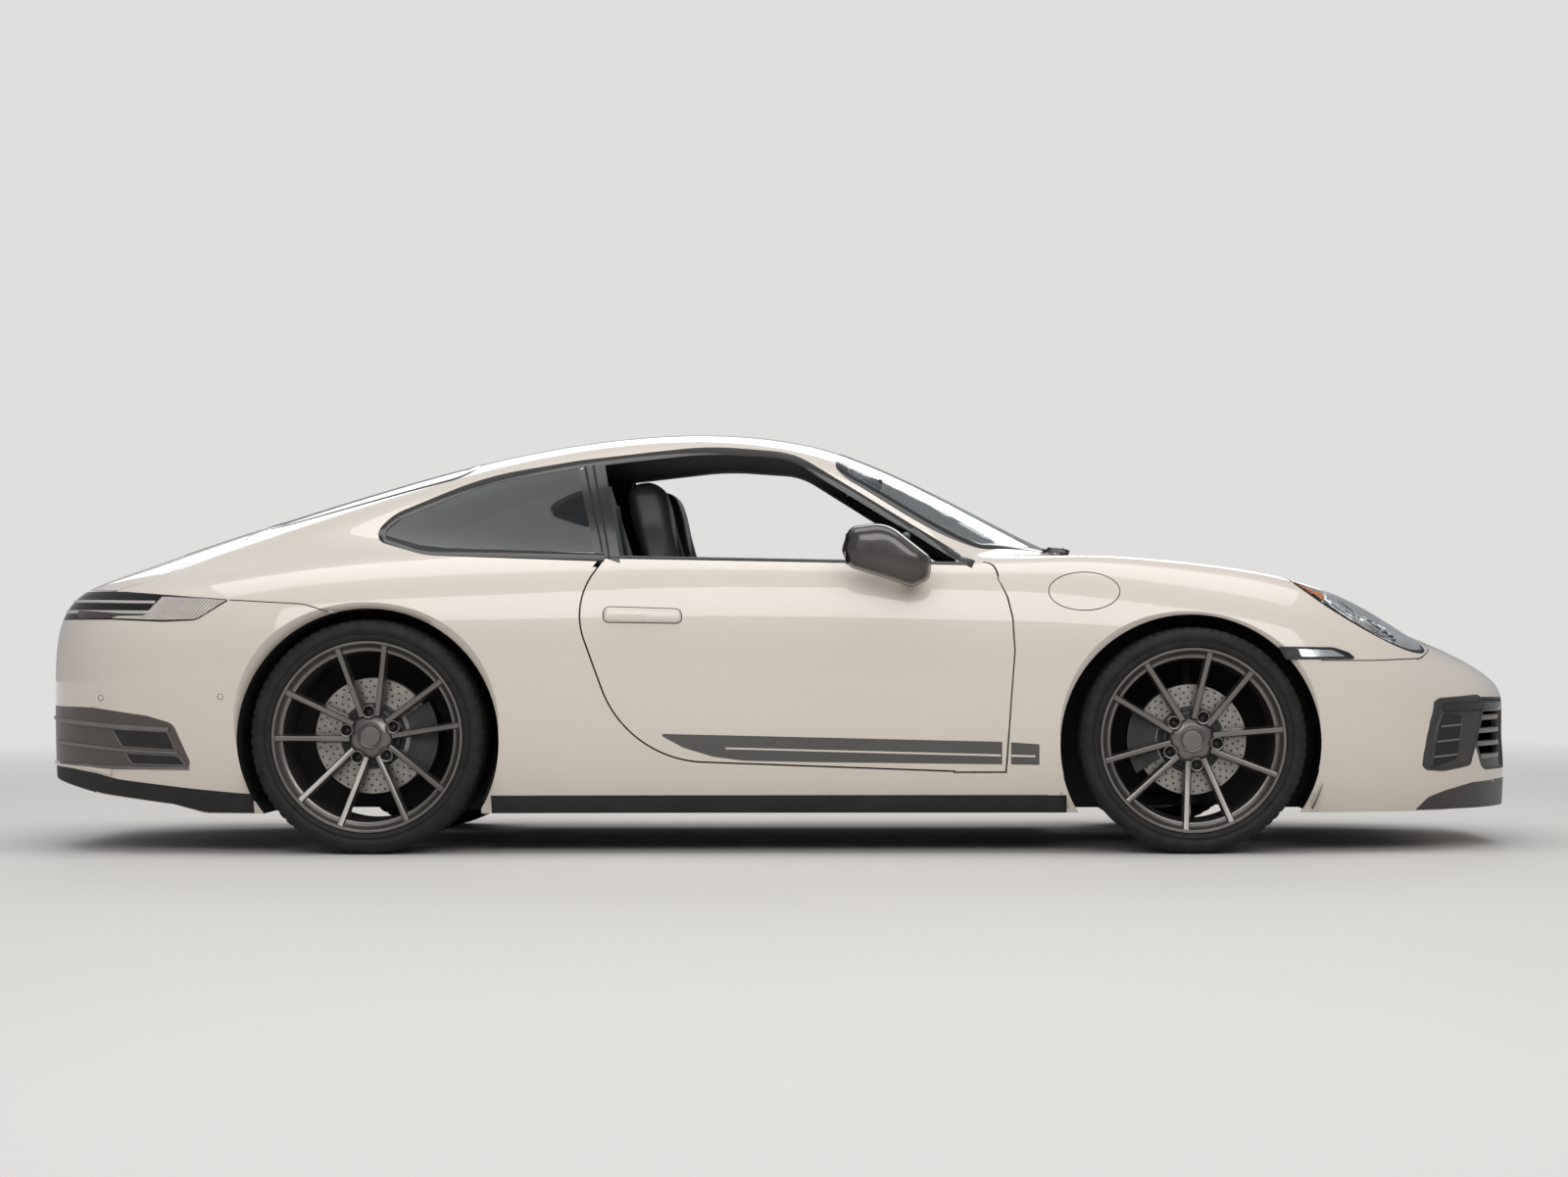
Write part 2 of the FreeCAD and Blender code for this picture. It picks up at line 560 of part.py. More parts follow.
wing_zone = box_shape((hinge_x - 40, at_x(2000)), (size.tub_half + WALL, FAR), (0, FAR))
wing = outer.Shape.common(wing_zone)
for hole in (frame_zone, cabin_void, door_hole, sill_zone, bumper_zone, under_lid, front_well, headlamp_hole,
             side_window, windscreen_hole, floor_plate, hinge_plates):
    wing = wing.cut(hole)
arm_notch = box_shape((front_axle - 220, front_axle + 120), (0, at_y(600)), (0, size.underside + 122))
wing = largest(wing.cut(arm_notch)).fuse(lid_pin(0, at_y(645) - at_y(540)))
front_wing_left = feature("front_wing_left", wing)
mirrored("front_wing_right", front_wing_left)

# Sills
sill = outer.Shape.common(sill_zone)
for hole in (cabin_void, door_hole, front_well, rear_well):
    sill = sill.cut(hole)
feature("sills", both_sides(largest(sill)))

# Left quarter panel with its pillar and inner panel
low_zone = box_shape((tail, hinge_x - 800), (size.bay_half, FAR), (0, shelf_height))
high_zone = box_shape((tail, hinge_x - 800), (0, FAR), (shelf_height, FAR))
quarter = outer.Shape.common(low_zone.fuse(high_zone))
for hole in (roof_zone, cabin_void, bay_void, door_hole, side_window, quarter_window, rear_window_cut, rear_hole,
             rear_shelf_cut, lamp_band, tail_zone, rear_well, sill_zone, floor_plate):
    quarter = quarter.cut(hole)
shaft_notch = box_shape((rear_axle - 125, rear_axle + 125), (0, at_y(620)), (0, size.rear_tyre + 170))
quarter_left = feature("quarter_panel_left", largest(quarter.cut(shaft_notch)))

# Floor pan with tunnel, bulkheads and parcel shelf
floor_parts = [
    box_shape((cabin_rear - WALL, cabin_front + WALL), (-at_y(640), at_y(640)),
              (size.underside, size.cabin_floor)),
    box_shape((at_x(-585), cabin_front), (-110, 110), (size.cabin_floor, size.cabin_floor + 150)),
    box_shape((cabin_rear - WALL, cabin_rear), (-size.bay_half, size.bay_half),
              (size.cabin_floor, shelf_height)),
    box_shape((shelf_rear - WALL, cabin_rear), (-size.bay_half, size.bay_half),
              (shelf_height - WALL, shelf_height)),
]
floor_pan = floor_parts[0]
for part_shape in floor_parts[1:]:
    floor_pan = floor_pan.fuse(part_shape)
feature("floor_pan", floor_pan.cut(both_sides(rear_well)).removeSplitter())

# Luggage tub and front bulkhead between the wings
tub_zone = box_shape((cabin_front, tub_front + WALL), (-size.tub_half - WALL, size.tub_half + WALL),
                     (size.cabin_floor, FAR))
tub = outer.Shape.common(tub_zone)
for hole in (frame_zone, cabin_void, tub_void, plenum, under_lid, windscreen_hole):
    tub = tub.cut(hole)
floor_end = box_shape((cabin_front, cabin_front + WALL), (-FAR, FAR), (0, size.cabin_floor))
feature("luggage_tub", largest(tub.cut(floor_end)))

# Bumpers, lower rear insert, lamps
nose_under = side_prism(NOSE_UNDER, -FAR, FAR)
tail_under = side_prism(TAIL_UNDER, -FAR, FAR)
deep_form = skin_solid(size.intake_depth)
slat_form = skin_solid(size.skin_wall * 0.5)
intake = both_sides(front_prism(INTAKE, at_x(1700), 2 * nose))
low_grille = front_prism(LOW_GRILLE, at_x(2000), 2 * nose)
intake_cut = intake.fuse(low_grille).cut(deep_form)
nose_hollow = side_prism(NOSE_HOLLOW, -size.tub_half - WALL, size.tub_half + WALL)
piece("front_bumper", bumper_zone, [both_sides(front_well), both_sides(headlamp_hole), under_lid, tub_zone,
                                    nose_hollow, intake_cut, nose_under])
slats = []
for height in (275, 315, 355, 395, 435):
    slats.append(box_shape((at_x(1700), nose), (-FAR, FAR), (at_z(height) - 7, at_z(height) + 7)))
for height in (196, 222):
    slats.append(box_shape((at_x(2000), nose), (-FAR, FAR), (at_z(height) - 5, at_z(height) + 5)))
grille = intake.fuse(low_grille).common(slat_form).cut(deep_form).common(Part.makeCompound(slats))
feature("front_grille", grille)
rear_insert_zone = side_prism(REAR_INSERT, -FAR, FAR)
piece("rear_bumper", tail_zone, [lamp_band, rear_insert_zone, both_sides(rear_well), bay_void, tail_under,
                                 both_sides(low_zone.common(sill_zone)), both_sides(shaft_notch)])
TIP_Y = 95
TIP_Z = 268
TIP_RADIUS = 48
tip_holes = [rod(TIP_RADIUS + 6, Vector(bay_rear, y, TIP_Z), Vector(tail, y, TIP_Z)) for y in (-TIP_Y, TIP_Y)]
piece("rear_insert", rear_insert_zone, [bay_void, tail_under, inner.Shape] + tip_holes)
lamp_zone = lamp_band.cut(inner.Shape)
piece("tail_lamp", lamp_zone, [])
lens = outer.Shape.common(headlamp_hole).cut(bumper_zone)
feature("headlamps", both_sides(largest(lens)))

# Doors
door = outer.Shape.common(door_solid).cut(above_belt)
for height in hinge_heights:
    slot = box_shape((hinge_x - 20, hinge_x + 140), (0, size.hinge_y + 8), (height - 14, height + 14))
    ring = Part.makeCylinder(EYE_RADIUS + 5, 28, Vector(hinge_x, size.hinge_y, height - 14))
    bore = Part.makeCylinder(size.hinge_pin + size.pin_play, PIN_LENGTH + 2,
                             Vector(hinge_x, size.hinge_y, height - PIN_LENGTH / 2 - 1))
    door = door.cut(slot).cut(ring).cut(bore)
window_slot = box_shape((at_x(-440), at_x(500)), (size.door_inner_y + 23, size.door_inner_y + 43), (at_z(500), FAR))
pocket = side_prism([(480, 700, 40), (480, 330, 60), (-330, 350, 60), (-420, 700, 40)], size.door_inner_y - 1,
                    size.door_inner_y + 25)
door = largest(door.cut(window_slot).cut(pocket))
door_left = feature("door_left", door)
mirrored("door_right", door_left)

# Hinge pillars carry the door hinges
pillar = box_shape((hinge_x - 25, cabin_front), (at_y(600), size.door_inner_y - 12),
                   (size.cabin_floor, at_z(800)))
feature("hinge_pillars", both_sides(pillar.fuse(hinge_plates)))

# Front lid
lid = outer.Shape.common(plan_prism(FRONT_LID, at_z(400), at_z(1000), 0, FRONT_LEAN)).cut(inner.Shape)
lid = lid.cut(both_sides(lid_pin(size.pin_play, at_y(645) - at_y(538))))
feature("front_lid", largest(lid))

# Rear lid with its gooseneck arms
rear_lid = outer.Shape.common(plan_prism(REAR_LID, at_z(760), at_z(1200), 0, REAR_LEAN, 930))
rear_lid = rear_lid.common(side_prism(REAR_LID_EDGE, -FAR, FAR))
rear_lid = largest(rear_lid.cut(inner.Shape).cut(lamp_band_grown))
rear_hinge = Vector(shelf_rear - WALL - 30, 0, at_z(900))
# The arms dip under the panel ahead of the lid: (reach from the hinge, direction in degrees), out and back
ARM = [(20, 110), (20, 290), (120, 228), (215, 229), (275, 228), (318, 211), (320, 190), (312, 174), (286, 174),
       (292, 190), (290, 208), (262, 218), (215, 219), (160, 213)]
arm_points = [Vector(rear_hinge.x + r * math.cos(math.radians(a)), 0, rear_hinge.z + r * math.sin(math.radians(a)))
              for r, a in ARM]
ARM_Y = 380
ARM_THICK = 12
arm = Part.Face(Part.makePolygon(arm_points + arm_points[:1])).extrude(Vector(0, ARM_THICK, 0))
arm = arm.fuse(Part.makeCylinder(20, ARM_THICK, Vector(rear_hinge.x, 0, rear_hinge.z), Vector(0, 1, 0)))
arm = arm.translated(Vector(0, ARM_Y, 0))
pin_way = Vector(0, 1, 0)
lid_pin_start = Vector(rear_hinge.x, ARM_Y - 6, rear_hinge.z)
arm = arm.cut(Part.makeCylinder(size.hinge_pin + size.pin_play, 40, lid_pin_start, pin_way))
feature("rear_lid", rear_lid.fuse(both_sides(arm)))
# Each pin stands out of the bay's side wall
rear_pin = Part.makeCylinder(size.hinge_pin, size.bay_half - WALL - ARM_Y + 6, lid_pin_start, pin_way)
quarter_left.Shape = quarter_left.Shape.fuse(rear_pin)
mirrored("quarter_panel_right", quarter_left)


def ring_sector(centre, radii, ys, middle, span):
    """A piece of a ring about a lying axis: its middle and span are in degrees from forwards, upwards."""
    start = math.radians(middle - span / 2)
    way = Vector(math.cos(start), 0, math.sin(start))
    corners = [centre + way * r + Vector(0, y, 0) for r, y in
               ((radii[0], ys[0]), (radii[1], ys[0]), (radii[1], ys[1]), (radii[0], ys[1]))]
    return Part.Face(Part.makePolygon(corners + corners[:1])).revolve(centre, Vector(0, -1, 0), span)


def turned_wheel(centre, profile):
    """Revolve (radius, y) points about the wheel's lying axis."""
    corners = [centre + Vector(r, y, 0) for r, y in profile]
    return Part.Face(Part.makePolygon(corners + corners[:1])).revolve(centre, Vector(0, 1, 0), 360)


def disc_shape(centre, radius, y_low, y_high, bore=0):
    solid = Part.makeCylinder(radius, y_high - y_low, centre + Vector(0, y_low, 0), Vector(0, 1, 0))
    if bore:
        solid = solid.cut(Part.makeCylinder(bore, y_high - y_low, centre + Vector(0, y_low, 0), Vector(0, 1, 0)))
    return solid


DISC_IN, DISC_OUT = -22, 12
HUB_FACE = 72
LUGS = 5
SPOKE_WIDTH = 13
SPOKE_SPREAD = 14.8


def rim_shape(centre, flange, tread, disc_radius, first_lug):
    """Rim with five pairs of spokes, hub, brake disc and the bore for its spindle."""
    lip = tread / 2 - 10
    barrel = [(flange, lip), (flange, lip - 9), (flange - 20, lip - 18), (flange - 20, 18 - lip), (flange, 9 - lip),
              (flange, -lip), (flange - 12, -lip), (flange - 32, 22 - lip), (flange - 32, lip - 30),
              (flange - 12, lip)]
    rim = turned_wheel(centre, barrel)
    hub_radius = size.lug_circle + 22
    solids = [disc_shape(centre, hub_radius, DISC_OUT, HUB_FACE - 12), disc_shape(centre, 36, 40, HUB_FACE + 4),
              disc_shape(centre, disc_radius, DISC_IN, DISC_OUT, 92), disc_shape(centre, 105, DISC_OUT - 8, DISC_OUT + 8)]
    side_view = [(0, HUB_FACE - 32), (flange - 76, lip - 46), (flange - 76, lip - 14), (flange * 0.4, lip - 34),
                 (0, HUB_FACE)]
    for lug in range(LUGS):
        azimuth = first_lug + lug * 360 / LUGS
        boss = Vector(size.lug_circle, 0, 0)
        lug_place = FreeCAD.Placement(centre, FreeCAD.Rotation(Vector(0, 1, 0), -azimuth))
        post = Part.makeCylinder(20, 34, boss + Vector(0, HUB_FACE - 34, 0), Vector(0, 1, 0))
        post.Placement = lug_place.multiply(post.Placement)
        solids.append(post)
        for side in (-1, 1):
            tip_angle = math.radians(azimuth + side * SPOKE_SPREAD)
            root_angle = math.radians(azimuth + side * 10)
            root = Vector(math.cos(root_angle), 0, math.sin(root_angle)) * (size.lug_circle - 12)
            tip = Vector(math.cos(tip_angle), 0, math.sin(tip_angle)) * (flange - 25)
            way = tip - root
            scale = way.Length / (flange - 76)
            corners = [Vector(s * scale, y, -SPOKE_WIDTH / 2) for s, y in side_view]
            spoke = Part.Face(Part.makePolygon(corners + corners[:1])).extrude(Vector(0, 0, SPOKE_WIDTH))
            turn = -math.degrees(math.atan2(way.z, way.x))
            spoke.Placement = FreeCAD.Placement(centre + root, FreeCAD.Rotation(Vector(0, 1, 0), turn))
            solids.append(spoke)
    rim = rim.fuse(solids)
    for lug in range(LUGS):
        azimuth = math.radians(first_lug + lug * 360 / LUGS)
        at = centre + Vector(math.cos(azimuth), 0, math.sin(azimuth)) * size.lug_circle
        rim = rim.cut(Part.makeCylinder(11, 30, at + Vector(0, HUB_FACE - 26, 0), Vector(0, 1, 0)))
    return rim


def tyre_shape(centre, radius, tread, flange):
    """Tyre on the rim's flanges, with its outer shoulder bevelled."""
    half = tread / 2
    bead = flange + size.pin_play
    shoulder = 20
    profile = [(bead, -half), (radius, -half), (radius, half - shoulder), (radius - shoulder, half), (bead, half)]
    return turned_wheel(centre, profile)


front_hub = Vector(front_axle, size.front_track / 2, size.front_tyre)
rear_hub = Vector(rear_axle, size.rear_track / 2, size.rear_tyre)
SPINDLE_END = 38
JOURNAL = 30
front_rim = rim_shape(front_hub, size.front_flange, size.front_tread, size.front_disc, 64)
front_rim = front_rim.cut(disc_shape(front_hub, size.spindle + size.pin_play, DISC_IN, SPINDLE_END + 2))
rear_rim = rim_shape(rear_hub, size.rear_flange, size.rear_tread, size.rear_disc, 94)
half_shaft = disc_shape(rear_hub, 16, size.gearbox_half + size.pin_play - rear_hub.y, DISC_OUT)
rear_rim = rear_rim.fuse([disc_shape(rear_hub, JOURNAL, -95, DISC_OUT), half_shaft])
for name, shape in (("wheel_front_left", front_rim), ("wheel_rear_left", rear_rim)):
    mirrored(name.replace("left", "right"), feature(name, shape))
for name, hub, radius, tread, flange in (
        ("tyre_front_left", front_hub, size.front_tyre, size.front_tread, size.front_flange),
        ("tyre_rear_left", rear_hub, size.rear_tyre, size.rear_tread, size.rear_flange)):
    mirrored(name.replace("left", "right"), feature(name, tyre_shape(hub, radius, tread, flange)))


def caliper(hub, disc_radius, middle):
    """Brake caliper astride the disc."""
    body = ring_sector(hub, (disc_radius - 58, disc_radius + 26), (DISC_IN - 42, DISC_OUT + 30), middle, 62)
    slot = ring_sector(hub, (disc_radius - 70, disc_radius + 5), (DISC_IN - 5, DISC_OUT + 5), middle, 80)
    return body.cut(slot)


# Front knuckle on its inclined steering axis
ball_low = Vector(front_axle, size.ball_low_y, size.ball_low_z)
ball_top = Vector(front_axle, size.ball_top_y, size.ball_top_z)
king = (ball_top - ball_low).normalize()


def on_king(height):
    return ball_low + king * ((height - ball_low.z) / king.z)


upright = rod(26, on_king(size.ball_low_z), on_king(560))
strut = rod(20, on_king(550), on_king(size.ball_top_z))
spring = rod(38, on_king(600), on_king(size.ball_top_z - 12))
spindle = rod(size.spindle, Vector(front_axle, 690, front_hub.z), front_hub + Vector(0, SPINDLE_END, 0))
flange_disc = disc_shape(front_hub, 60, -80, DISC_IN - 5)
caliper_arm = box_shape((front_axle - size.front_disc, front_axle), (front_hub.y - 64, front_hub.y - 40),
                        (front_hub.z - 30, front_hub.z + 30))
knuckle = upright.fuse([strut, spring, spindle, flange_disc, caliper_arm, caliper(front_hub, size.front_disc, 180)])
KING_PIN = 9
for height in (size.ball_low_z, size.ball_top_z):
    knuckle = knuckle.cut(rod(KING_PIN + size.pin_play, on_king(height - 32), on_king(height + 32)))
knuckle_left = feature("front_knuckle_left", knuckle)
mirrored("front_knuckle_right", knuckle_left)

# Front suspension: subframe, lower arms and strut towers, with the pins of the steering axis
SUBFRAME_Y = 330
subframe = box_shape((front_axle - 200, front_axle + 80), (-SUBFRAME_Y, SUBFRAME_Y),
                     (size.cabin_floor - 50, size.cabin_floor))
arm_end = on_king(size.ball_low_z - 26)
eye = rod(20, on_king(size.ball_low_z - 34), on_king(size.ball_low_z - 6))
arm_parts = [eye, rod(KING_PIN, on_king(size.ball_low_z - 20), on_king(size.ball_low_z + 28))]
for foot in (-170, 50):
    arm_parts.append(rod(13, Vector(front_axle + foot, SUBFRAME_Y - 20, size.cabin_floor - 25), arm_end))
tower = box_shape((front_axle - 70, front_axle + 70), (size.well_inner_front, size.ball_top_y + 60),
                  (size.ball_top_z + 13, size.ball_top_z + 25))
top_pin = rod(KING_PIN, on_king(size.ball_top_z - 28), on_king(size.ball_top_z + 19))
side_parts = arm_parts[0].fuse(arm_parts[1:])
feature("front_suspension", Part.makeCompound([subframe.fuse(both_sides(side_parts))] +
                                              both_sides(tower.fuse(top_pin)).Solids))

# Rear knuckles with their calipers and arms
rear_knuckle = disc_shape(rear_hub, 62, -90, DISC_IN - 6).cut(disc_shape(rear_hub, JOURNAL + size.pin_play, -200, 50))
rear_arm = box_shape((rear_axle, rear_axle + size.rear_disc), (rear_hub.y - 64, rear_hub.y - 40),
                     (rear_hub.z - 30, rear_hub.z + 30)).cut(disc_shape(rear_hub, 50, -200, 50))
rear_parts = [rear_arm, caliper(rear_hub, size.rear_disc, 0)]
for x, z, z_in in ((-100, -140, -120), (90, -140, -120), (-60, 110, 100)):
    outer_end = rear_hub + Vector(x * 0.3, -60, z * 0.35)
    rear_parts.append(rod(13, outer_end, Vector(rear_axle + x, size.bay_half - 60, rear_hub.z + z_in)))
rear_links = rear_knuckle.fuse(rear_parts)
rail = box_shape((rear_axle - 118, rear_axle + 118), (size.bay_half - 100, size.bay_half - 40),
                 (rear_hub.z - 150, rear_hub.z - 90))
top_rail = box_shape((rear_axle - 118, rear_axle + 118), (size.bay_half - 100, size.bay_half - 40),
                     (rear_hub.z + 80, rear_hub.z + 130))
rear_links = rear_links.fuse([rail, top_rail, box_shape((rear_axle - 118, rear_axle - 90),
                              (size.bay_half - 100, size.bay_half - 40), (rear_hub.z - 150, rear_hub.z + 130))])
rear_links = rear_links.cut(disc_shape(rear_hub, JOURNAL + size.pin_play, -200, 50))
feature("rear_suspension", both_sides(rear_links))

# Engine and gearbox: one plain block
REAR_AXLE = "body_length / 2 - front_overhang - wheelbase"
gearbox = block("gearbox_block", (REAR_AXLE + " - gearbox_back", REAR_AXLE + " + gearbox_front"),
                ("-gearbox_half", "gearbox_half"), ("rear_tyre - 180", "rear_tyre + 120"))
engine = block("engine_part", (REAR_AXLE + " - engine_back", REAR_AXLE + " - gearbox_back + 1"),
               ("-engine_half", "engine_half"), ("rear_tyre - 60", "rear_tyre + 290"))
fuse("engine_block", [gearbox, engine])
muffler = box_shape((bay_rear + 10, bay_rear + 110), (-400, 400), (250, 420))
tips = []
for y in (-TIP_Y, TIP_Y):
    tips.append(rod(TIP_RADIUS, Vector(bay_rear + 20, y, TIP_Z), Vector(at_x(-2238), y, TIP_Z)))
exhaust = muffler.fuse(tips)
for y in (-TIP_Y, TIP_Y):
    exhaust = exhaust.cut(rod(TIP_RADIUS - 5, Vector(at_x(-2120), y, TIP_Z), Vector(at_x(-2240), y, TIP_Z)))
feature("exhaust", exhaust)

# Cabin: dashboard, steering wheel, seats
DASHBOARD = [(700, 600), (500, 560, 40), (470, 700, 60), (505, 835, 60), (620, 880, 60), (700, 884)]
dashboard = side_prism(DASHBOARD, -590, 590)
column_way = Vector(-math.cos(math.radians(24)), 0, math.sin(math.radians(24)))
steering_hub = Vector(at_x(size.wheel_hub_x), size.seat_y, at_z(size.wheel_hub_z))
column = rod(24, steering_hub - column_way * 250, steering_hub - column_way * (20 + size.pin_play))
feature("dashboard", dashboard.fuse(column))
wheel_place = FreeCAD.Placement(steering_hub, FreeCAD.Rotation(Vector(0, 0, 1), column_way))
steering = Part.makeTorus(size.steering_radius, 15)
steering = steering.fuse([Part.makeCylinder(48, 36, Vector(0, 0, -20)),
                          Part.makeBox(2 * size.steering_radius - 10, 36, 12,
                                       Vector(5 - size.steering_radius, -18, -6)),
                          Part.makeBox(size.steering_radius, 36, 12, Vector(0, -18, -6)).rotated(
                              Vector(), Vector(0, 0, 1), -90)])
steering.Placement = wheel_place.multiply(steering.Placement)
feature("steering_wheel", steering)

SEAT = [(70, 180.3), (110, 330, 60), (130, 440, 45), (-215, 395, 70), (-330, 1050, 300), (-372, 1128, 40),
        (-465, 1115, 45), (-440, 900, 400), (-345, 420, 120), (-330, 180.3)]
seat = side_prism(SEAT, size.seat_y - size.seat_width / 2, size.seat_y + size.seat_width / 2)
seat_left = feature("seat_left", seat)
mirrored("seat_right", seat_left)
REAR_SEAT = [(-1000, 180.3), (-620, 180.3), (-600, 380, 60), (-850, 430, 80), (-950, 800, 25), (-1000, 812)]
feature("rear_seats", side_prism(REAR_SEAT, -560, 560))

# Door mirrors
MIRROR = [(214, 900, 30), (236, 968, 36), (345, 984, 80), (478, 880, 36), (472, 806, 36), (420, 788, 34),
          (350, 815, 120), (235, 850, 40)]
head = side_prism(MIRROR, at_y(912), at_y(1010))
head = head.makeFillet(20, [edge for edge in head.Edges if abs(edge.BoundBox.YMin - at_y(1010)) < 1])
foot = rod(17, Vector(at_x(415), at_y(800), at_z(812)), Vector(at_x(375), at_y(930), at_z(858)))
foot = foot.cut(door_left.Shape)
mirror_left = feature("mirror_left", largest(head.fuse(foot)))
mirrored("mirror_right", mirror_left)

PARTS = ["roof_panel", "windscreen_frame", "windscreen", "rear_window", "quarter_windows", "front_wing_left",
         "front_wing_right", "sills", "quarter_panel_left", "quarter_panel_right", "floor_pan", "luggage_tub",
         "front_bumper", "front_grille", "rear_bumper", "rear_insert", "tail_lamp", "headlamps", "door_left",
         "door_right", "hinge_pillars", "front_lid", "rear_lid", "wheel_front_left", "wheel_front_right",
         "wheel_rear_left", "wheel_rear_right", "tyre_front_left", "tyre_front_right", "tyre_rear_left",
         "tyre_rear_right", "front_knuckle_left", "front_knuckle_right", "front_suspension", "rear_suspension",
         "engine_block", "exhaust", "dashboard", "steering_wheel", "seat_left", "seat_right", "rear_seats",
         "mirror_left", "mirror_right"]
doc.recompute()
for item in doc.Objects:
    if "Invalid" in item.State or "Error" in item.State:
        raise RuntimeError("failed: " + item.Name)
os.makedirs(NODES_FOLDER, exist_ok=True)
for name in PARTS:
    item = doc.getObject(name)
    item.Label = name
    if item.Shape.isNull() or not item.Shape.isValid():
        raise RuntimeError("bad shape: " + name)
    item.Shape.exportStep(os.path.join(NODES_FOLDER, name + ".step"))
print("written", len(PARTS))
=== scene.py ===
"""The dressed coupe: paint, glass, lamps, wheels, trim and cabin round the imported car."""
import json
import math
import bpy
import bmesh
import numpy as np
from mathutils import Matrix, Vector
from mathutils.bvhtree import BVHTree
from mathutils.geometry import delaunay_2d_cdt


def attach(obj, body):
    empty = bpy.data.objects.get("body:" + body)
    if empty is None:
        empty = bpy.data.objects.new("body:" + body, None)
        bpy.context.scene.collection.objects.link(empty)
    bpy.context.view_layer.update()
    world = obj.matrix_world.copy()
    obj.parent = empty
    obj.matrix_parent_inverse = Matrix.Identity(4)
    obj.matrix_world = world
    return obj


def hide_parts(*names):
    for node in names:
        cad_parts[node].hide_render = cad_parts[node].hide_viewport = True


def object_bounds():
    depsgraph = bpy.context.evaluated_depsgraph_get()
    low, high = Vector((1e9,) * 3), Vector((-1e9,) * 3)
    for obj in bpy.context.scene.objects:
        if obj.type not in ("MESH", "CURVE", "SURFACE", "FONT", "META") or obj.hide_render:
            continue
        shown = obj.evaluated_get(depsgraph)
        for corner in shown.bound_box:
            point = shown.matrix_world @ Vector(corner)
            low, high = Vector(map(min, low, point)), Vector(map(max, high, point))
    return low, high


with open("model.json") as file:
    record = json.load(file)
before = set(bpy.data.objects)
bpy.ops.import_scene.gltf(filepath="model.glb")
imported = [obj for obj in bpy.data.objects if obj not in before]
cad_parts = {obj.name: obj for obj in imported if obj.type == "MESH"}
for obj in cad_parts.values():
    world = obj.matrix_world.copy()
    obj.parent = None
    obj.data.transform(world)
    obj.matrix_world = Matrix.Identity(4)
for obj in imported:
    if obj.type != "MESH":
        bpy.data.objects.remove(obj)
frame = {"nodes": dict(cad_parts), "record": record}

cad_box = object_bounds()
scene = bpy.context.scene
nodes = frame["nodes"]
TAIL = cad_box[0].x

# Camera: where the photographer stood, in metres and degrees
CAMERA_PLACE = (0.407, -11.064, 0.622)
CAMERA_YAW = 2.06
CAMERA_PITCH = 0.93
CAMERA_ROLL = -0.16
CAMERA_LENS = 78.8


def place_camera():
    yaw, pitch, roll = (math.radians(a) for a in (CAMERA_YAW, CAMERA_PITCH, CAMERA_ROLL))
    level = Vector((-math.sin(yaw), math.cos(yaw), 0))
    ahead = level * math.cos(pitch) + Vector((0, 0, math.sin(pitch)))
    right = Vector((math.cos(yaw), math.sin(yaw), 0))
    up = Vector((0, 0, math.cos(pitch))) - level * math.sin(pitch)
    right, up = right * math.cos(roll) + up * math.sin(roll), up * math.cos(roll) - right * math.sin(roll)
    camera = bpy.data.objects.new("camera", bpy.data.cameras.new("camera"))
    camera.data.sensor_width = 36
    camera.data.lens = CAMERA_LENS
    camera.data.clip_end = 200
    camera.matrix_world = Matrix((right, up, -ahead)).transposed().to_4x4()
    camera.location = CAMERA_PLACE
    scene.collection.objects.link(camera)
    scene.camera = camera


place_camera()

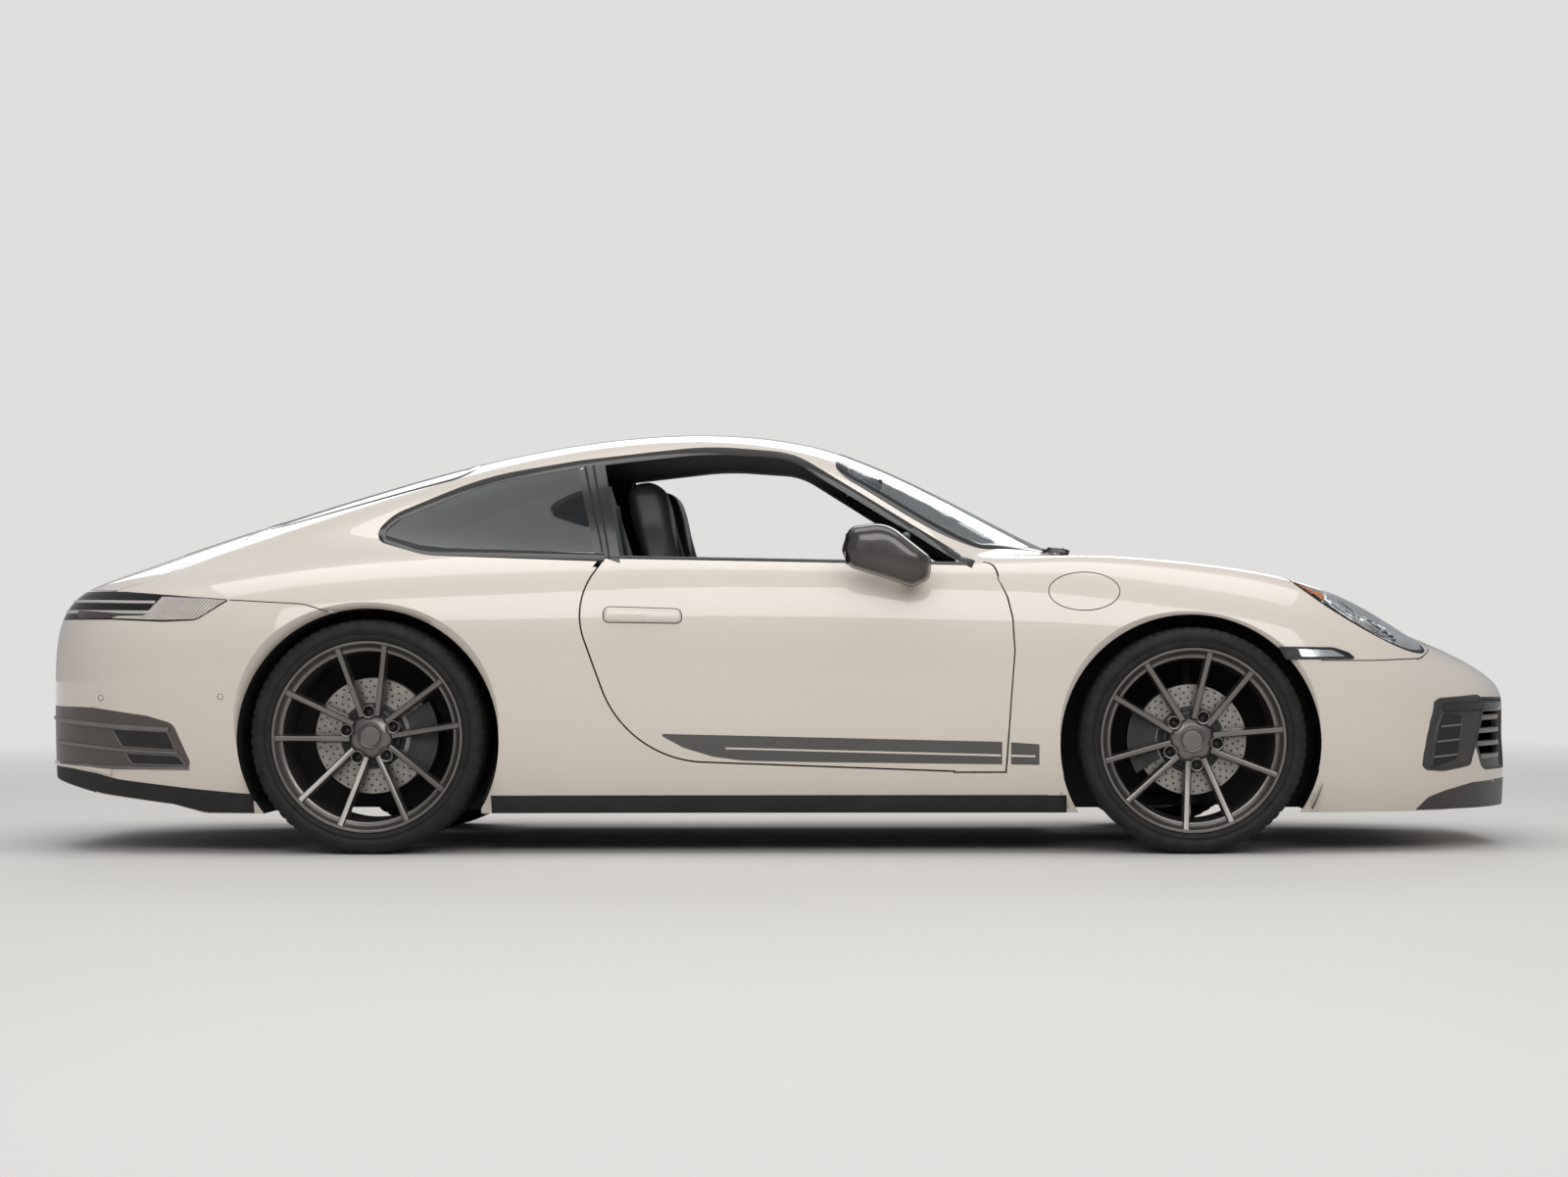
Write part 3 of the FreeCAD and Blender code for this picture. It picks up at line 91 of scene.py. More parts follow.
# The skin of the car: half sections from tail to nose, in millimetres. Each row is x, the height of the
# centre line, y and z of ten lines (inner, outer, rail in, rail out, glass, belt, shoulder, flank, door and
# sill), then y of the edge at the underside.
SECTIONS = """
-2259.5 600  60 600  120 598  160 594  190 588  215 578  235 562  250 535  258 480  258 380  250 260  235
-2259.5 650  110 650  210 646  280 640  325 630  360 615  385 590  402 550  410 480  408 360  398 240  370
-2225 735  150 734  290 728  385 720  445 710  490 695  525 668  550 620  562 530  560 390  545 240  505
-2160 812  190 810  350 802  460 793  530 783  585 768  630 735  660 680  675 570  672 410  655 240  605
-2040 858  220 855  400 843  525 830  605 818  670 800  730 765  775 705  800 590  798 420  780 240  720
-1800 950  240 944  420 922  540 896  615 873  685 848  765 815  845 765  897 650  893 440  872 240  800
-1480 1053  240 1045  415 1016  525 978  590 945  655 908  745 880  855 842  930 710  920 460  895 240  825
-1150 1152  240 1145  420 1118  535 1078  600 1035  665 968  745 912  860 868  935 725  922 470  895 240  825
-750 1250  240 1245  430 1226  550 1188  612 1135  690 1010  762 908  845 862  905 715  896 470  880 235  812
-300 1303  240 1298  430 1280  550 1250  612 1190  692 1040  772 898  842 862  888 710  884 470  876 232  800
60 1277  240 1271  430 1248  550 1212  612 1150  694 1010  776 886  842 855  886 705  884 465  876 228  800
290 1204  240 1196  420 1168  540 1125  612 1068  694 960  778 880  842 850  885 700  884 460  876 225  800
560 1072  240 1062  420 1030  550 980  634 930  704 893  780 874  842 845  887 695  886 455  876 222  800
800 940  240 934  430 915  570 890  650 880  712 885  778 882  843 845  893 695  890 455  878 220  803
960 872  240 868  430 855  560 845  632 862  692 892  764 893  845 845  903 695  898 455  882 220  810
1250 825  240 820  430 806  550 800  615 822  675 866  752 872  846 828  922 690  912 460  890 225  820
1570 770  240 765  420 752  530 746  590 766  655 818  738 828  830 775  905 640  905 450  885 235  815
1800 712  230 707  390 694  490 684  550 690  625 722  708 728  796 670  860 540  862 400  845 235  775
1990 645  215 641  355 630  450 620  515 612  590 600  660 570  722 510  765 425  768 320  752 215  690
2130 582  180 579  300 571  385 562  445 552  510 536  565 508  612 460  640 390  642 300  628 205  575
2215 530  140 528  235 522  305 515  355 506  405 492  445 470  475 430  492 370  492 290  480 200  435
2259.5 488  95 487  165 484  215 480  255 474  290 464  318 448  338 415  350 360  350 280  340 200  310
2259.5 450  55 450  100 448  135 445  160 440  182 432  200 418  212 392  218 345  218 275  212 205  195
"""
UNDERSIDE = 118
MM = 0.001


def spline_weights(count, samples):
    """Weights of the control points of an even clamped cubic curve at even parameters."""
    knots = np.concatenate([[0] * 3, np.arange(count - 2), [count - 3] * 3]).astype(float)
    at = np.linspace(0, count - 3, samples)
    at[-1] -= 1e-9
    weights = ((knots[:-1] <= at[:, None]) & (at[:, None] < knots[1:])).astype(float)
    for degree in (1, 2, 3):
        spans = len(knots) - degree - 1
        left = knots[degree:degree + spans] - knots[:spans]
        right = knots[degree + 1:degree + 1 + spans] - knots[1:1 + spans]
        rise = np.divide(at[:, None] - knots[:spans], left, out=np.zeros((samples, spans)), where=left > 0)
        fall = np.divide(knots[degree + 1:degree + 1 + spans] - at[:, None], right,
                         out=np.zeros((samples, spans)), where=right > 0)
        weights = rise * weights[:, :spans] + fall * weights[:, 1:1 + spans]
    return weights


class Skin:
    """The car's smooth outer surface: nearest points and normals, and points seen from a side or above."""

    def __init__(self, along=420, around=260):
        net = []
        for row in SECTIONS.strip().splitlines():
            x, crown, *pairs, edge = map(float, row.split())
            half = [(0, crown), *zip(pairs[::2], pairs[1::2]), (edge, UNDERSIDE)]
            left = [(x, y, z) for y, z in half]
            net.append([(x, -y, z) for x, y, z in reversed(left[1:])] + left)
        net = np.array(net) * MM
        points = np.einsum("ui,vj,ijk->uvk", spline_weights(net.shape[0], along),
                           spline_weights(net.shape[1], around), net)
        normals = np.cross(np.gradient(points, axis=0), np.gradient(points, axis=1))
        normals /= np.maximum(np.linalg.norm(normals, axis=2, keepdims=True), 1e-12)
        corner = np.arange(along * around).reshape(along, around)
        quads = np.stack([corner[:-1, :-1], corner[1:, :-1], corner[1:, 1:], corner[:-1, 1:]],
                         axis=2).reshape(-1, 4)
        points, normals = points.reshape(-1, 3), normals.reshape(-1, 3)
        for row, way in ((0, -1), (along - 1, 1)):
            rim = points[corner[row]]
            cap = np.arange(len(rim)) + len(points)
            half = around // 2
            points = np.vstack([points, rim])
            normals = np.vstack([normals, np.tile((way, 0, 0), (len(rim), 1))])
            strips = [(cap[i], cap[i + 1], cap[-i - 2], cap[-i - 1]) for i in range(half - 1)]
            quads = np.vstack([quads, strips])
        self.tris = np.vstack([quads[:, [0, 1, 2]], quads[:, [0, 2, 3]]])
        self.points, self.normals = points, normals
        self.tree = BVHTree.FromPolygons(points.tolist(), self.tris.tolist())

    def normal_at(self, place, index):
        """The smooth normal inside a triangle."""
        a, b, c = (self.points[i] for i in self.tris[index])
        u, v, w = b - a, c - a, np.array(place) - a
        uu, uv, vv, wu, wv = u @ u, u @ v, v @ v, w @ u, w @ v
        scale = uu * vv - uv * uv or 1e-20
        s, t = (vv * wu - uv * wv) / scale, (uu * wv - uv * wu) / scale
        na, nb, nc = (self.normals[i] for i in self.tris[index])
        normal = Vector(na * (1 - s - t) + nb * s + nc * t)
        return normal.normalized()

    def nearest(self, place):
        """(point, normal, distance) of the skin nearest to a place."""
        point, _, index, distance = self.tree.find_nearest(place)
        return point, self.normal_at(point, index), distance

    def seen(self, start, way, lift):
        """Where a ray meets the skin, lifted off it in millimetres."""
        point, _, index, _ = self.tree.ray_cast(Vector(start), Vector(way))
        if point is None:
            point, normal, _ = self.nearest(Vector(start) + Vector(way))
        else:
            normal = self.normal_at(point, index)
        return point + normal * (lift * MM)


skin = Skin()

# Shared shader effects
FLOAT = "NodeSocketFloat"
COLOUR = "NodeSocketColor"
VECTOR = "NodeSocketVector"


def effect(name, inputs, outputs):
    """A node group with named inputs and outputs."""
    group = bpy.data.node_groups.new(name, "ShaderNodeTree")
    for label, kind, value in inputs:
        group.interface.new_socket(label, in_out="INPUT", socket_type=kind).default_value = value
    for label, kind in outputs:
        group.interface.new_socket(label, in_out="OUTPUT", socket_type=kind)
    return group, group.nodes.new("NodeGroupInput"), group.nodes.new("NodeGroupOutput")


def add(tree, kind, values=None, **settings):
    """A shader node with its settings and the values of its inputs."""
    node = tree.nodes.new(kind)
    for label, value in settings.items():
        setattr(node, label, value)
    for label, value in (values or {}).items():
        node.inputs[label].default_value = value
    return node


def wire(tree, *links):
    """Links between nodes, each as node, output, node and input."""
    for source, output, target, put in links:
        tree.links.new(source.outputs[output], target.inputs[put])


def surface_grain():
    """Fine bumps: a normal and a mask that follows them."""
    group, given, made = effect("surface_grain", [("Scale", FLOAT, 400.0), ("Depth", FLOAT, 0.1)],
                                [("Normal", VECTOR), ("Mask", FLOAT)])
    place = add(group, "ShaderNodeTexCoord")
    noise = add(group, "ShaderNodeTexNoise", {"Detail": 3})
    bump = add(group, "ShaderNodeBump", {"Distance": 0.0006})
    wire(group, (place, "Object", noise, "Vector"), (given, "Scale", noise, "Scale"),
         (given, "Depth", bump, "Strength"), (noise, "Fac", bump, "Height"),
         (bump, "Normal", made, "Normal"), (noise, "Fac", made, "Mask"))
    return group


def two_tone():
    """A slow change between two colours, as dust and wear give."""
    group, given, made = effect("two_tone", [("Light", COLOUR, (0.5, 0.5, 0.5, 1)),
                                             ("Dark", COLOUR, (0.4, 0.4, 0.4, 1)), ("Scale", FLOAT, 6.0)],
                                [("Colour", COLOUR), ("Mask", FLOAT)])
    place = add(group, "ShaderNodeTexCoord")
    noise = add(group, "ShaderNodeTexNoise", {"Detail": 5})
    spread = add(group, "ShaderNodeMapRange", {"From Min": 0.35, "From Max": 0.65})
    mix = add(group, "ShaderNodeMix", data_type="RGBA")
    wire(group, (place, "Object", noise, "Vector"), (given, "Scale", noise, "Scale"),
         (noise, "Fac", spread, "Value"), (spread, "Result", mix, "Factor"),
         (given, "Light", mix, "A"), (given, "Dark", mix, "B"),
         (mix, "Result", made, "Colour"), (spread, "Result", made, "Mask"))
    return group


GRAIN = surface_grain()
TONE = two_tone()


def plain(name, rough, **sockets):
    """A material, its tree and its shader. Sockets are set by name, with spaces as underscores."""
    material = bpy.data.materials.new(name)
    material.use_nodes = True
    shader = material.node_tree.nodes["Principled BSDF"]
    shader.inputs["Roughness"].default_value = rough
    for label, value in sockets.items():
        shader.inputs[label.replace("_", " ")].default_value = value
    return material, material.node_tree, shader


def grained(tree, shader, scale, depth):
    bumps = add(tree, "ShaderNodeGroup", {"Scale": scale, "Depth": depth}, node_tree=GRAIN)
    wire(tree, (bumps, "Normal", shader, "Normal"))


def surface(name, light, dark, rough, grain, tone, **sockets):
    """A material with two tones and a grain (scale, depth)."""
    material, tree, shader = plain(name, rough, **sockets)
    colour = add(tree, "ShaderNodeGroup", {"Light": light + (1,), "Dark": dark + (1,), "Scale": tone},
                 node_tree=TONE)
    wire(tree, (colour, "Colour", shader, "Base Color"))
    grained(tree, shader, *grain)
    return material


CHALK = surface("chalk_paint", (0.67, 0.6, 0.525), (0.66, 0.59, 0.515), 0.38, (260, 0.015), 3,
                Coat_Weight=1.0, Coat_Roughness=0.02, Coat_IOR=1.5)
# Darker chalk for the arch bevels: painted shade of the bevel that faces down
CHALK_PAINTED_SHADE = surface("chalk_arch_band_painted_shade", (0.52, 0.465, 0.41), (0.51, 0.455, 0.4), 0.42, (260, 0.015), 3,
                     Coat_Weight=0.6, Coat_Roughness=0.08)
LINER = surface("black_liner", (0.012, 0.012, 0.013), (0.02, 0.02, 0.021), 0.75, (900, 0.5), 9)
BLACK_TRIM = surface("black_trim", (0.012, 0.012, 0.013), (0.016, 0.016, 0.017), 0.3, (1500, 0.15), 20)
GLOSS_TRIM = surface("gloss_trim", (0.02, 0.018, 0.016), (0.024, 0.021, 0.019), 0.16, (700, 0.03), 8)
DISC_STEEL = surface("disc_steel", (0.36, 0.34, 0.31), (0.28, 0.265, 0.245), 0.34, (2200, 0.12), 40,
                     Metallic=1.0)
BRONZE_EDGE = surface("bronze_edge", (0.22, 0.2, 0.18), (0.2, 0.18, 0.165), 0.25, (1800, 0.03), 12,
                      Metallic=0.8)
GLOSS_BLACK = surface("gloss_black", (0.008, 0.008, 0.009), (0.01, 0.01, 0.011), 0.08, (500, 0.02), 8)
GRAINED_BLACK = surface("grained_black", (0.018, 0.018, 0.019), (0.03, 0.03, 0.031), 0.55, (1100, 0.6), 14)
LEATHER = surface("black_leather", (0.016, 0.016, 0.017), (0.026, 0.026, 0.027), 0.42, (700, 0.5), 12)
TITANIUM = surface("titanium_wheel", (0.2, 0.185, 0.17), (0.165, 0.153, 0.142), 0.32, (2500, 0.05), 10,
                   Metallic=0.85, Coat_Weight=0.4, Coat_Roughness=0.1)
RUBBER = surface("tyre_rubber", (0.011, 0.0105, 0.01), (0.019, 0.018, 0.017), 0.62, (1400, 0.35), 25,
                 Specular_IOR_Level=0.25)
RAW_METAL = surface("raw_metal", (0.28, 0.28, 0.29), (0.2, 0.2, 0.21), 0.42, (900, 0.25), 30, Metallic=1.0)
DARK_METAL = surface("dark_metal", (0.05, 0.05, 0.052), (0.03, 0.03, 0.031), 0.5, (700, 0.3), 12,
                     Metallic=0.6)
BRONZE = surface("bronze_grey", (0.075, 0.068, 0.062), (0.065, 0.06, 0.055), 0.28, (1800, 0.03), 12,
                 Metallic=0.7, Coat_Weight=0.6)
STRIPE = surface("stripe_film", (0.085, 0.083, 0.078), (0.08, 0.078, 0.073), 0.4, (900, 0.03), 6)
CHROME = surface("bright_reflector", (0.75, 0.75, 0.76), (0.7, 0.7, 0.71), 0.16, (600, 0.01), 20,
                 Metallic=1.0)
AMBER = surface("amber_lens", (0.75, 0.22, 0.02), (0.65, 0.17, 0.015), 0.15, (700, 0.1), 20)
LIGHT_BAR = surface("light_bar", (0.5, 0.47, 0.43), (0.44, 0.415, 0.38), 0.18, (900, 0.05), 20,
                    Coat_Weight=1.0)
RIBBED = surface("ribbed_lens", (0.6, 0.54, 0.49), (0.52, 0.47, 0.43), 0.12, (900, 0.05), 20, Coat_Weight=1.0)
DARK_LENS = surface("dark_lens", (0.045, 0.025, 0.022), (0.035, 0.02, 0.018), 0.12, (900, 0.05), 20,
                    Coat_Weight=1.0)
INSERT_BROWN = surface("insert_brown", (0.085, 0.07, 0.063), (0.075, 0.062, 0.056), 0.35, (1100, 0.15), 12)
FIN_GREY = surface("fin_grey", (0.17, 0.152, 0.14), (0.14, 0.127, 0.118), 0.34, (1200, 0.08), 12)
FRAME_GREY = surface("frame_grey", (0.04, 0.037, 0.035), (0.033, 0.031, 0.029), 0.4, (1200, 0.2), 12)
LIP_GREY = surface("lip_grey", (0.055, 0.05, 0.046), (0.045, 0.041, 0.038), 0.42, (1100, 0.2), 12)
PLATE_WHITE = surface("blank_plate", (0.62, 0.62, 0.61), (0.56, 0.56, 0.55), 0.35, (900, 0.05), 20)

DUST_SCALE = 60


def clear(name, colour, dust=0.004, ior=1.45):
    """Glass with a faint grain of dust."""
    material, tree, shader = plain(name, 0, Base_Color=colour + (1,), Transmission_Weight=1, IOR=ior)
    grained(tree, shader, DUST_SCALE, dust)
    return material


CLEAR_GLASS = clear("clear_glass", (0.72, 0.76, 0.75))
DARK_GLASS = clear("dark_glass", (0.16, 0.17, 0.17))
LENS_GLASS = clear("lens_glass", (0.97, 0.98, 0.98), 0.0005, 1.3)
SMOKED_LENS = clear("smoked_lens", (0.45, 0.42, 0.42), 0.002)

BODY_OF = {node: body for body, members in frame["record"]["behaviour"]["bodies"].items() for node in members}


def piece(name, mesh, body, materials, replaced=()):
    """Show a mesh as a piece of the car that rides on a body."""
    made = bpy.data.objects.new(name, mesh)
    scene.collection.objects.link(made)
    for material in materials:
        mesh.materials.append(material)
    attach(made, body)
    if replaced:
        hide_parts(*replaced)
    return made


def finish_node(node, material):
    """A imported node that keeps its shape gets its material."""
    shown = nodes[node]
    if not shown.material_slots:
        shown.data.materials.append(None)
    for slot in shown.material_slots:
        slot.link = "OBJECT"
        slot.material = material


# Panels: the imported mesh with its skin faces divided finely, laid on the skin and shaded with its normals.
# Metres: how near a face lies to the skin, how near a new vertex is drawn to it, the longest edge, how deep a
# painted cut edge starts and ends, and the height above which it isn't painted
SKIN_REACH = 0.0009
DRAWN_NEAR = 0.004
LONGEST_EDGE = 0.035
EDGE_START = 0.008
EDGE_END = 0.052
EDGE_TOP = 0.82
NO_TOP = 2
# Wheel arches: x, z and radius in the side view, and the bevel's mean width, its spread and the least y
ARCHES = ((1.2425, 0.322, 0.385), (-1.2015, 0.34, 0.392))
BEVEL_MIDDLE = 0.02
BEVEL_SPREAD = 0.035
BEVEL_OUT = 0.8
# Least agreement of a face with the skin's normal, and of a bevel's face with the side
FACING = 0.7
BEVEL_FACING = 0.35


def skin_faces(work):
    """Faces that lie on the skin, with each vertex's skin normal and distance."""
    facts = [skin.nearest(v.co)[1:] for v in work.verts]
    work.verts.index_update()
    work.faces.ensure_lookup_table()
    flat = set()
    for face in work.faces:
        if all(facts[v.index][1] < SKIN_REACH for v in face.verts):
            if face.normal.dot(facts[face.verts[0].index][0]) > FACING:
                flat.add(face)
    return flat, facts


def on_bevel(polygon):
    """Whether a face belongs to the bevelled edge of a wheel arch."""
    x, y, z = polygon.center
    return abs(polygon.normal.y) > BEVEL_FACING and abs(y) > BEVEL_OUT and any(
        abs(math.hypot(x - at_x, z - at_z) - radius - BEVEL_MIDDLE) < BEVEL_SPREAD
        for at_x, at_z, radius in ARCHES)


def panel(node, outside, inside, painted_shade_band=None, painted_below=EDGE_TOP):
    """A panel that stands for its node: the outside material on the skin and on its low cut edges."""
    work = bmesh.new()
    work.from_mesh(nodes[node].data)
    bmesh.ops.remove_doubles(work, verts=work.verts, dist=1e-6)
    for _ in range(4):
        flat, _facts = skin_faces(work)
        long_edges = {edge for face in flat for edge in face.edges if edge.calc_length() > LONGEST_EDGE}
        if not long_edges:
            break
        count = len(work.verts)
        bmesh.ops.subdivide_edges(work, edges=list(long_edges), cuts=1)
        bmesh.ops.triangulate(work, faces=[face for face in work.faces if len(face.verts) > 3])
        work.verts.ensure_lookup_table()
        for vert in work.verts[count:]:
            point, _normal, distance = skin.nearest(vert.co)
            if distance < DRAWN_NEAR:
                vert.co = point
    work.normal_update()
    flat, facts = skin_faces(work)
    work.faces.index_update()
    flat_index = {face.index for face in flat}
    mesh = bpy.data.meshes.new(node + "_dressed")
    work.to_mesh(mesh)
    work.free()
    mesh.shade_smooth()
    mesh.set_sharp_from_angle(angle=math.radians(32))
    normals = np.zeros((len(mesh.loops), 3))
    for polygon in mesh.polygons:
        if polygon.index in flat_index:
            for loop in polygon.loop_indices:
                normals[loop] = facts[mesh.loops[loop].vertex_index][0]
        else:
            depths = [facts[v][1] for v in polygon.vertices]
            edge = min(depths) < EDGE_START and max(depths) < EDGE_END and polygon.center.z < painted_below
            # Faces on an arch bevel take the darker chalk, painted shade of the downward-facing bevel
            polygon.material_index = 2 if on_bevel(polygon) else 0 if edge else 1
    mesh.normals_split_custom_set(normals.tolist())
    return piece(node + "_dressed", mesh, BODY_OF[node], [outside, inside, painted_shade_band or outside],
                 [node])


PAINTED = ("roof_panel", "windscreen_frame", "front_wing_left", "front_wing_right", "sills",
           "quarter_panel_left", "quarter_panel_right", "front_bumper", "rear_bumper", "front_lid",
           "rear_lid", "door_left", "door_right")
for node in PAINTED:
    panel(node, CHALK, LINER, CHALK_PAINTED_SHADE, NO_TOP if "lid" in node else EDGE_TOP)
panel("windscreen", CLEAR_GLASS, CLEAR_GLASS)
panel("rear_window", DARK_GLASS, DARK_GLASS)
panel("quarter_windows", DARK_GLASS, DARK_GLASS)
panel("tail_lamp", SMOKED_LENS, LINER)
insert = panel("rear_insert", INSERT_BROWN, LINER)
# Its flat end stands a little in from the tail, behind the plate
for vert in insert.data.vertices:
    if vert.co.x < TAIL + 0.5 * MM:
        vert.co.x += 0.8 * MM

FINISHED = (
    (LINER, ("floor_pan",)), (GRAINED_BLACK, ("luggage_tub", "front_grille", "dashboard")),
    (DARK_METAL, ("hinge_pillars", "front_knuckle_left", "front_knuckle_right", "front_suspension",
                  "rear_suspension")),
    (RAW_METAL, ("engine_block", "exhaust")), (LEATHER, ("steering_wheel",)))
for material, members in FINISHED:
    for node in members:
        finish_node(node, material)

# Outlines and strips on the skin

def even(line, step, closed):
    """The line with points at even distances, in the line's own unit."""
    line = np.array(line, float)
    if closed:
        line = np.vstack([line, line[:1]])
    lengths = np.concatenate([[0], np.cumsum(np.linalg.norm(np.diff(line, axis=0), axis=1))])
    count = max(int(round(lengths[-1] / step)), 2)
    at = np.linspace(0, lengths[-1], count + 1)
    if closed:
        at = at[:-1]
    return np.column_stack([np.interp(at, lengths, line[:, k]) for k in range(line.shape[1])])


def rounded(points, step=8, closed=True):
    """Corners (a, b) or (a, b, radius) in millimetres as an even line."""
    line = []
    for index, point in enumerate(points):
        corner = np.array(point[:2], float)
        ends = index in (0, len(points) - 1) and not closed
        if len(point) < 3 or ends:
            line.append(corner)
            continue
        before = np.array(points[index - 1][:2], float) - corner
        after = np.array(points[(index + 1) % len(points)][:2], float) - corner
        before /= np.linalg.norm(before)
        after /= np.linalg.norm(after)
        half = math.acos(np.clip(before @ after, -1, 1)) / 2
        middle = before + after
        centre = corner + middle / np.linalg.norm(middle) * point[2] / math.sin(half)
        spoke = corner + before * point[2] / math.tan(half) - centre
        sweep = math.pi - 2 * half
        turn = math.copysign(sweep, before[0] * after[1] - before[1] * after[0]) * -1
        for share in np.linspace(0, 1, 9):
            c, s = math.cos(turn * share), math.sin(turn * share)
            line.append(centre + np.array([c * spoke[0] - s * spoke[1], s * spoke[0] + c * spoke[1]]))
    return even(line, step, closed)


def bent(points, radius):
    """An open line with every corner rounded by the same radius."""
    return rounded([point + (radius,) for point in points], closed=False)


def across(line, closed):
    """Unit normals of a flat line: outwards if closed, to the right of its run if open."""
    ahead = np.roll(line, -1, 0) - np.roll(line, 1, 0) if closed else np.gradient(line, axis=0)
    ahead /= np.linalg.norm(ahead, axis=1, keepdims=True)
    out = np.column_stack([ahead[:, 1], -ahead[:, 0]])
    if closed:
        following = np.roll(line, -1, 0)
        if np.sum(line[:, 0] * following[:, 1] - following[:, 0] * line[:, 1]) < 0:
            out = -out
    return out


def mm(x, y, z):
    """A point given in millimetres."""
    return Vector((x, y, z)) * MM


# Views of the skin, from (a, b, lift) in millimetres to a point. From the side a is x and b is up. From above
# a is x and b is to the left. From the front and the back a is to the left and b is up

def from_side(hand):
    return lambda a, b, lift: skin.seen((a * MM, 2 * hand, b * MM), (0, -hand, 0), lift)


def from_top(a, b, lift):
    return skin.seen((a * MM, b * MM, 3), (0, 0, -1), lift)


def from_front(a, b, lift):
    return skin.seen((3, a * MM, b * MM), (-1, 0, 0), lift)


def from_back(a, b, lift):
    return skin.seen((-3, a * MM, b * MM), (1, 0, 0), lift)


def inside(line, a, b):
    """Whether a place lies inside a closed flat line."""
    following = np.roll(line, -1, 0)
    crossing = (line[:, 1] > b) != (following[:, 1] > b)
    rise = np.where(crossing, following[:, 1] - line[:, 1], 1)
    at = line[:, 0] + (b - line[:, 1]) * (following[:, 0] - line[:, 0]) / rise
    return np.sum(crossing & (at > a)) % 2 == 1


def ridge(half, foot, top, slope=1, crown=None):
    """The profile of a raised strip: (distance across, lift) rows."""
    middle = [] if crown is None else [(0, crown)]
    return [(-half, foot), (slope - half, top)] + middle + [(half - slope, top), (half, foot)]


class Shape:
    """Points in metres and faces with a material number each."""

    def __init__(self):
        self.points, self.faces, self.kinds = [], [], []

    def put(self, points, faces, kind=0):
        start = len(self.points)
        self.points.extend(tuple(p) for p in points)
        self.faces.extend(tuple(start + i for i in face) for face in faces)
        self.kinds.extend([kind] * len(faces))

    def grid(self, rows, kind=0, loop=False, ring=False):
        """Faces between rows of points. loop closes each row, ring joins the last row to the first."""
        count = len(rows[0])
        faces = []
        for i in range(len(rows) if ring else len(rows) - 1):
            j = (i + 1) % len(rows)
            for k in range(count if loop else count - 1):
                m = (k + 1) % count
                faces.append((i * count + k, i * count + m, j * count + m, j * count + k))
        self.put([p for row in rows for p in row], faces, kind)

    def cap(self, rows, kind=0):
        """Faces that close the first and the last row."""
        for row in (rows[0], rows[-1]):
            self.put(row, [tuple(range(len(row)))], kind)

    def turned(self, profile, place, steps=96, kind=0, ring=False):
        """Revolve (radius, out) rows; place turns (a, b, out) in millimetres into a point."""
        angles = [2 * math.pi * k / steps for k in range(steps)]
        self.grid([[place(r * math.cos(t), r * math.sin(t), out) for t in angles] for r, out in profile],
                  kind, True, ring)

    def box(self, low, high, kind=0):
        """A box between two corners in millimetres."""
        corners = [mm(x, y, z) for x in (low[0], high[0]) for y in (low[1], high[1])
                   for z in (low[2], high[2])]
        self.put(corners,
                 [(0, 1, 3, 2), (4, 6, 7, 5), (0, 4, 5, 1), (2, 3, 7, 6), (0, 2, 6, 4), (1, 5, 7, 3)], kind)

    def strip(self, line, profile, place, closed=True, kind=0):
        """A strip along a flat line: profile rows are (distance across outwards, lift)."""
        out = across(line, closed)
        self.grid([[place(*(spot + side * reach), lift) for spot, side in zip(line, out)]
                   for reach, lift in profile], kind, closed)

    def patch(self, line, place, lift, step=40, kind=0):
        """A sheet over the skin inside a closed flat line."""
        low, high = line.min(axis=0), line.max(axis=0)
        within = []
        for a in np.arange(low[0] + step / 2, high[0], step):
            for b in np.arange(low[1] + step / 2, high[1], step):
                near = np.min(np.hypot(line[:, 0] - a, line[:, 1] - b))
                if inside(line, a, b) and near > step * 0.4:
                    within.append((a, b))
        spots = [Vector(p) for p in line.tolist() + within]
        edges = [(k, (k + 1) % len(line)) for k in range(len(line))]
        spots, _, faces, *_ = delaunay_2d_cdt(spots, edges, [], 1, 1e-4)
        self.put([place(p.x, p.y, lift) for p in spots], faces, kind)

    def tube(self, line, radius, steps=10, kind=0):
        """A round tube along points in metres."""
        line = [Vector(p) for p in line]
        rows = []
        side = None
        for index, spot in enumerate(line):
            ahead = (line[min(index + 1, len(line) - 1)] - line[max(index - 1, 0)]).normalized()
            start = side or (Vector((0, 0, 1)) if abs(ahead.z) < 0.9 else Vector((1, 0, 0)))
            side = (start - ahead * start.dot(ahead)).normalized()
            other = ahead.cross(side)
            rows.append([spot + (side * math.cos(t) + other * math.sin(t)) * radius * MM
                         for t in (2 * math.pi * k / steps for k in range(steps))])
        self.grid(rows, kind, True)
        self.cap(rows, kind)

    def mesh(self, name, sharp):
        """The finished mesh, with faces turned outwards or along the skin."""
        mesh = bpy.data.meshes.new(name)
        mesh.from_pydata(self.points, [], self.faces)
        work = bmesh.new()
        work.from_mesh(mesh)
        for face, kind in zip(work.faces, self.kinds):
            face.material_index = kind
        bmesh.ops.remove_doubles(work, verts=work.verts, dist=1e-6)
        bmesh.ops.recalc_face_normals(work, faces=work.faces)
        work.to_mesh(mesh)
        work.free()
        mesh.shade_smooth()
        mesh.set_sharp_from_angle(angle=math.radians(sharp))
        return mesh

    def show(self, name, body, slot, materials, replaced=(), sharp=35):
        """The finished shape as a piece of the car."""
        return piece(name, self.mesh(name, sharp), body, materials, replaced)


SIDES = ((1, "left"), (-1, "right"))

# Wheels and tyres. Each row: hub x and y from the middle, tyre radius, tread, flange radius, brake disc
# radius, azimuth of the first wheel bolt, in millimetres and degrees
AXLES = {"front": (1248.5, 790, 335, 245, 274, 165, 64), "rear": (-1201.5, 764, 350, 300, 286, 175, 94)}
BOLTS = 5
BOLT_CIRCLE = 74
HUB_FRONT = 72
HUB_RADIUS = 74
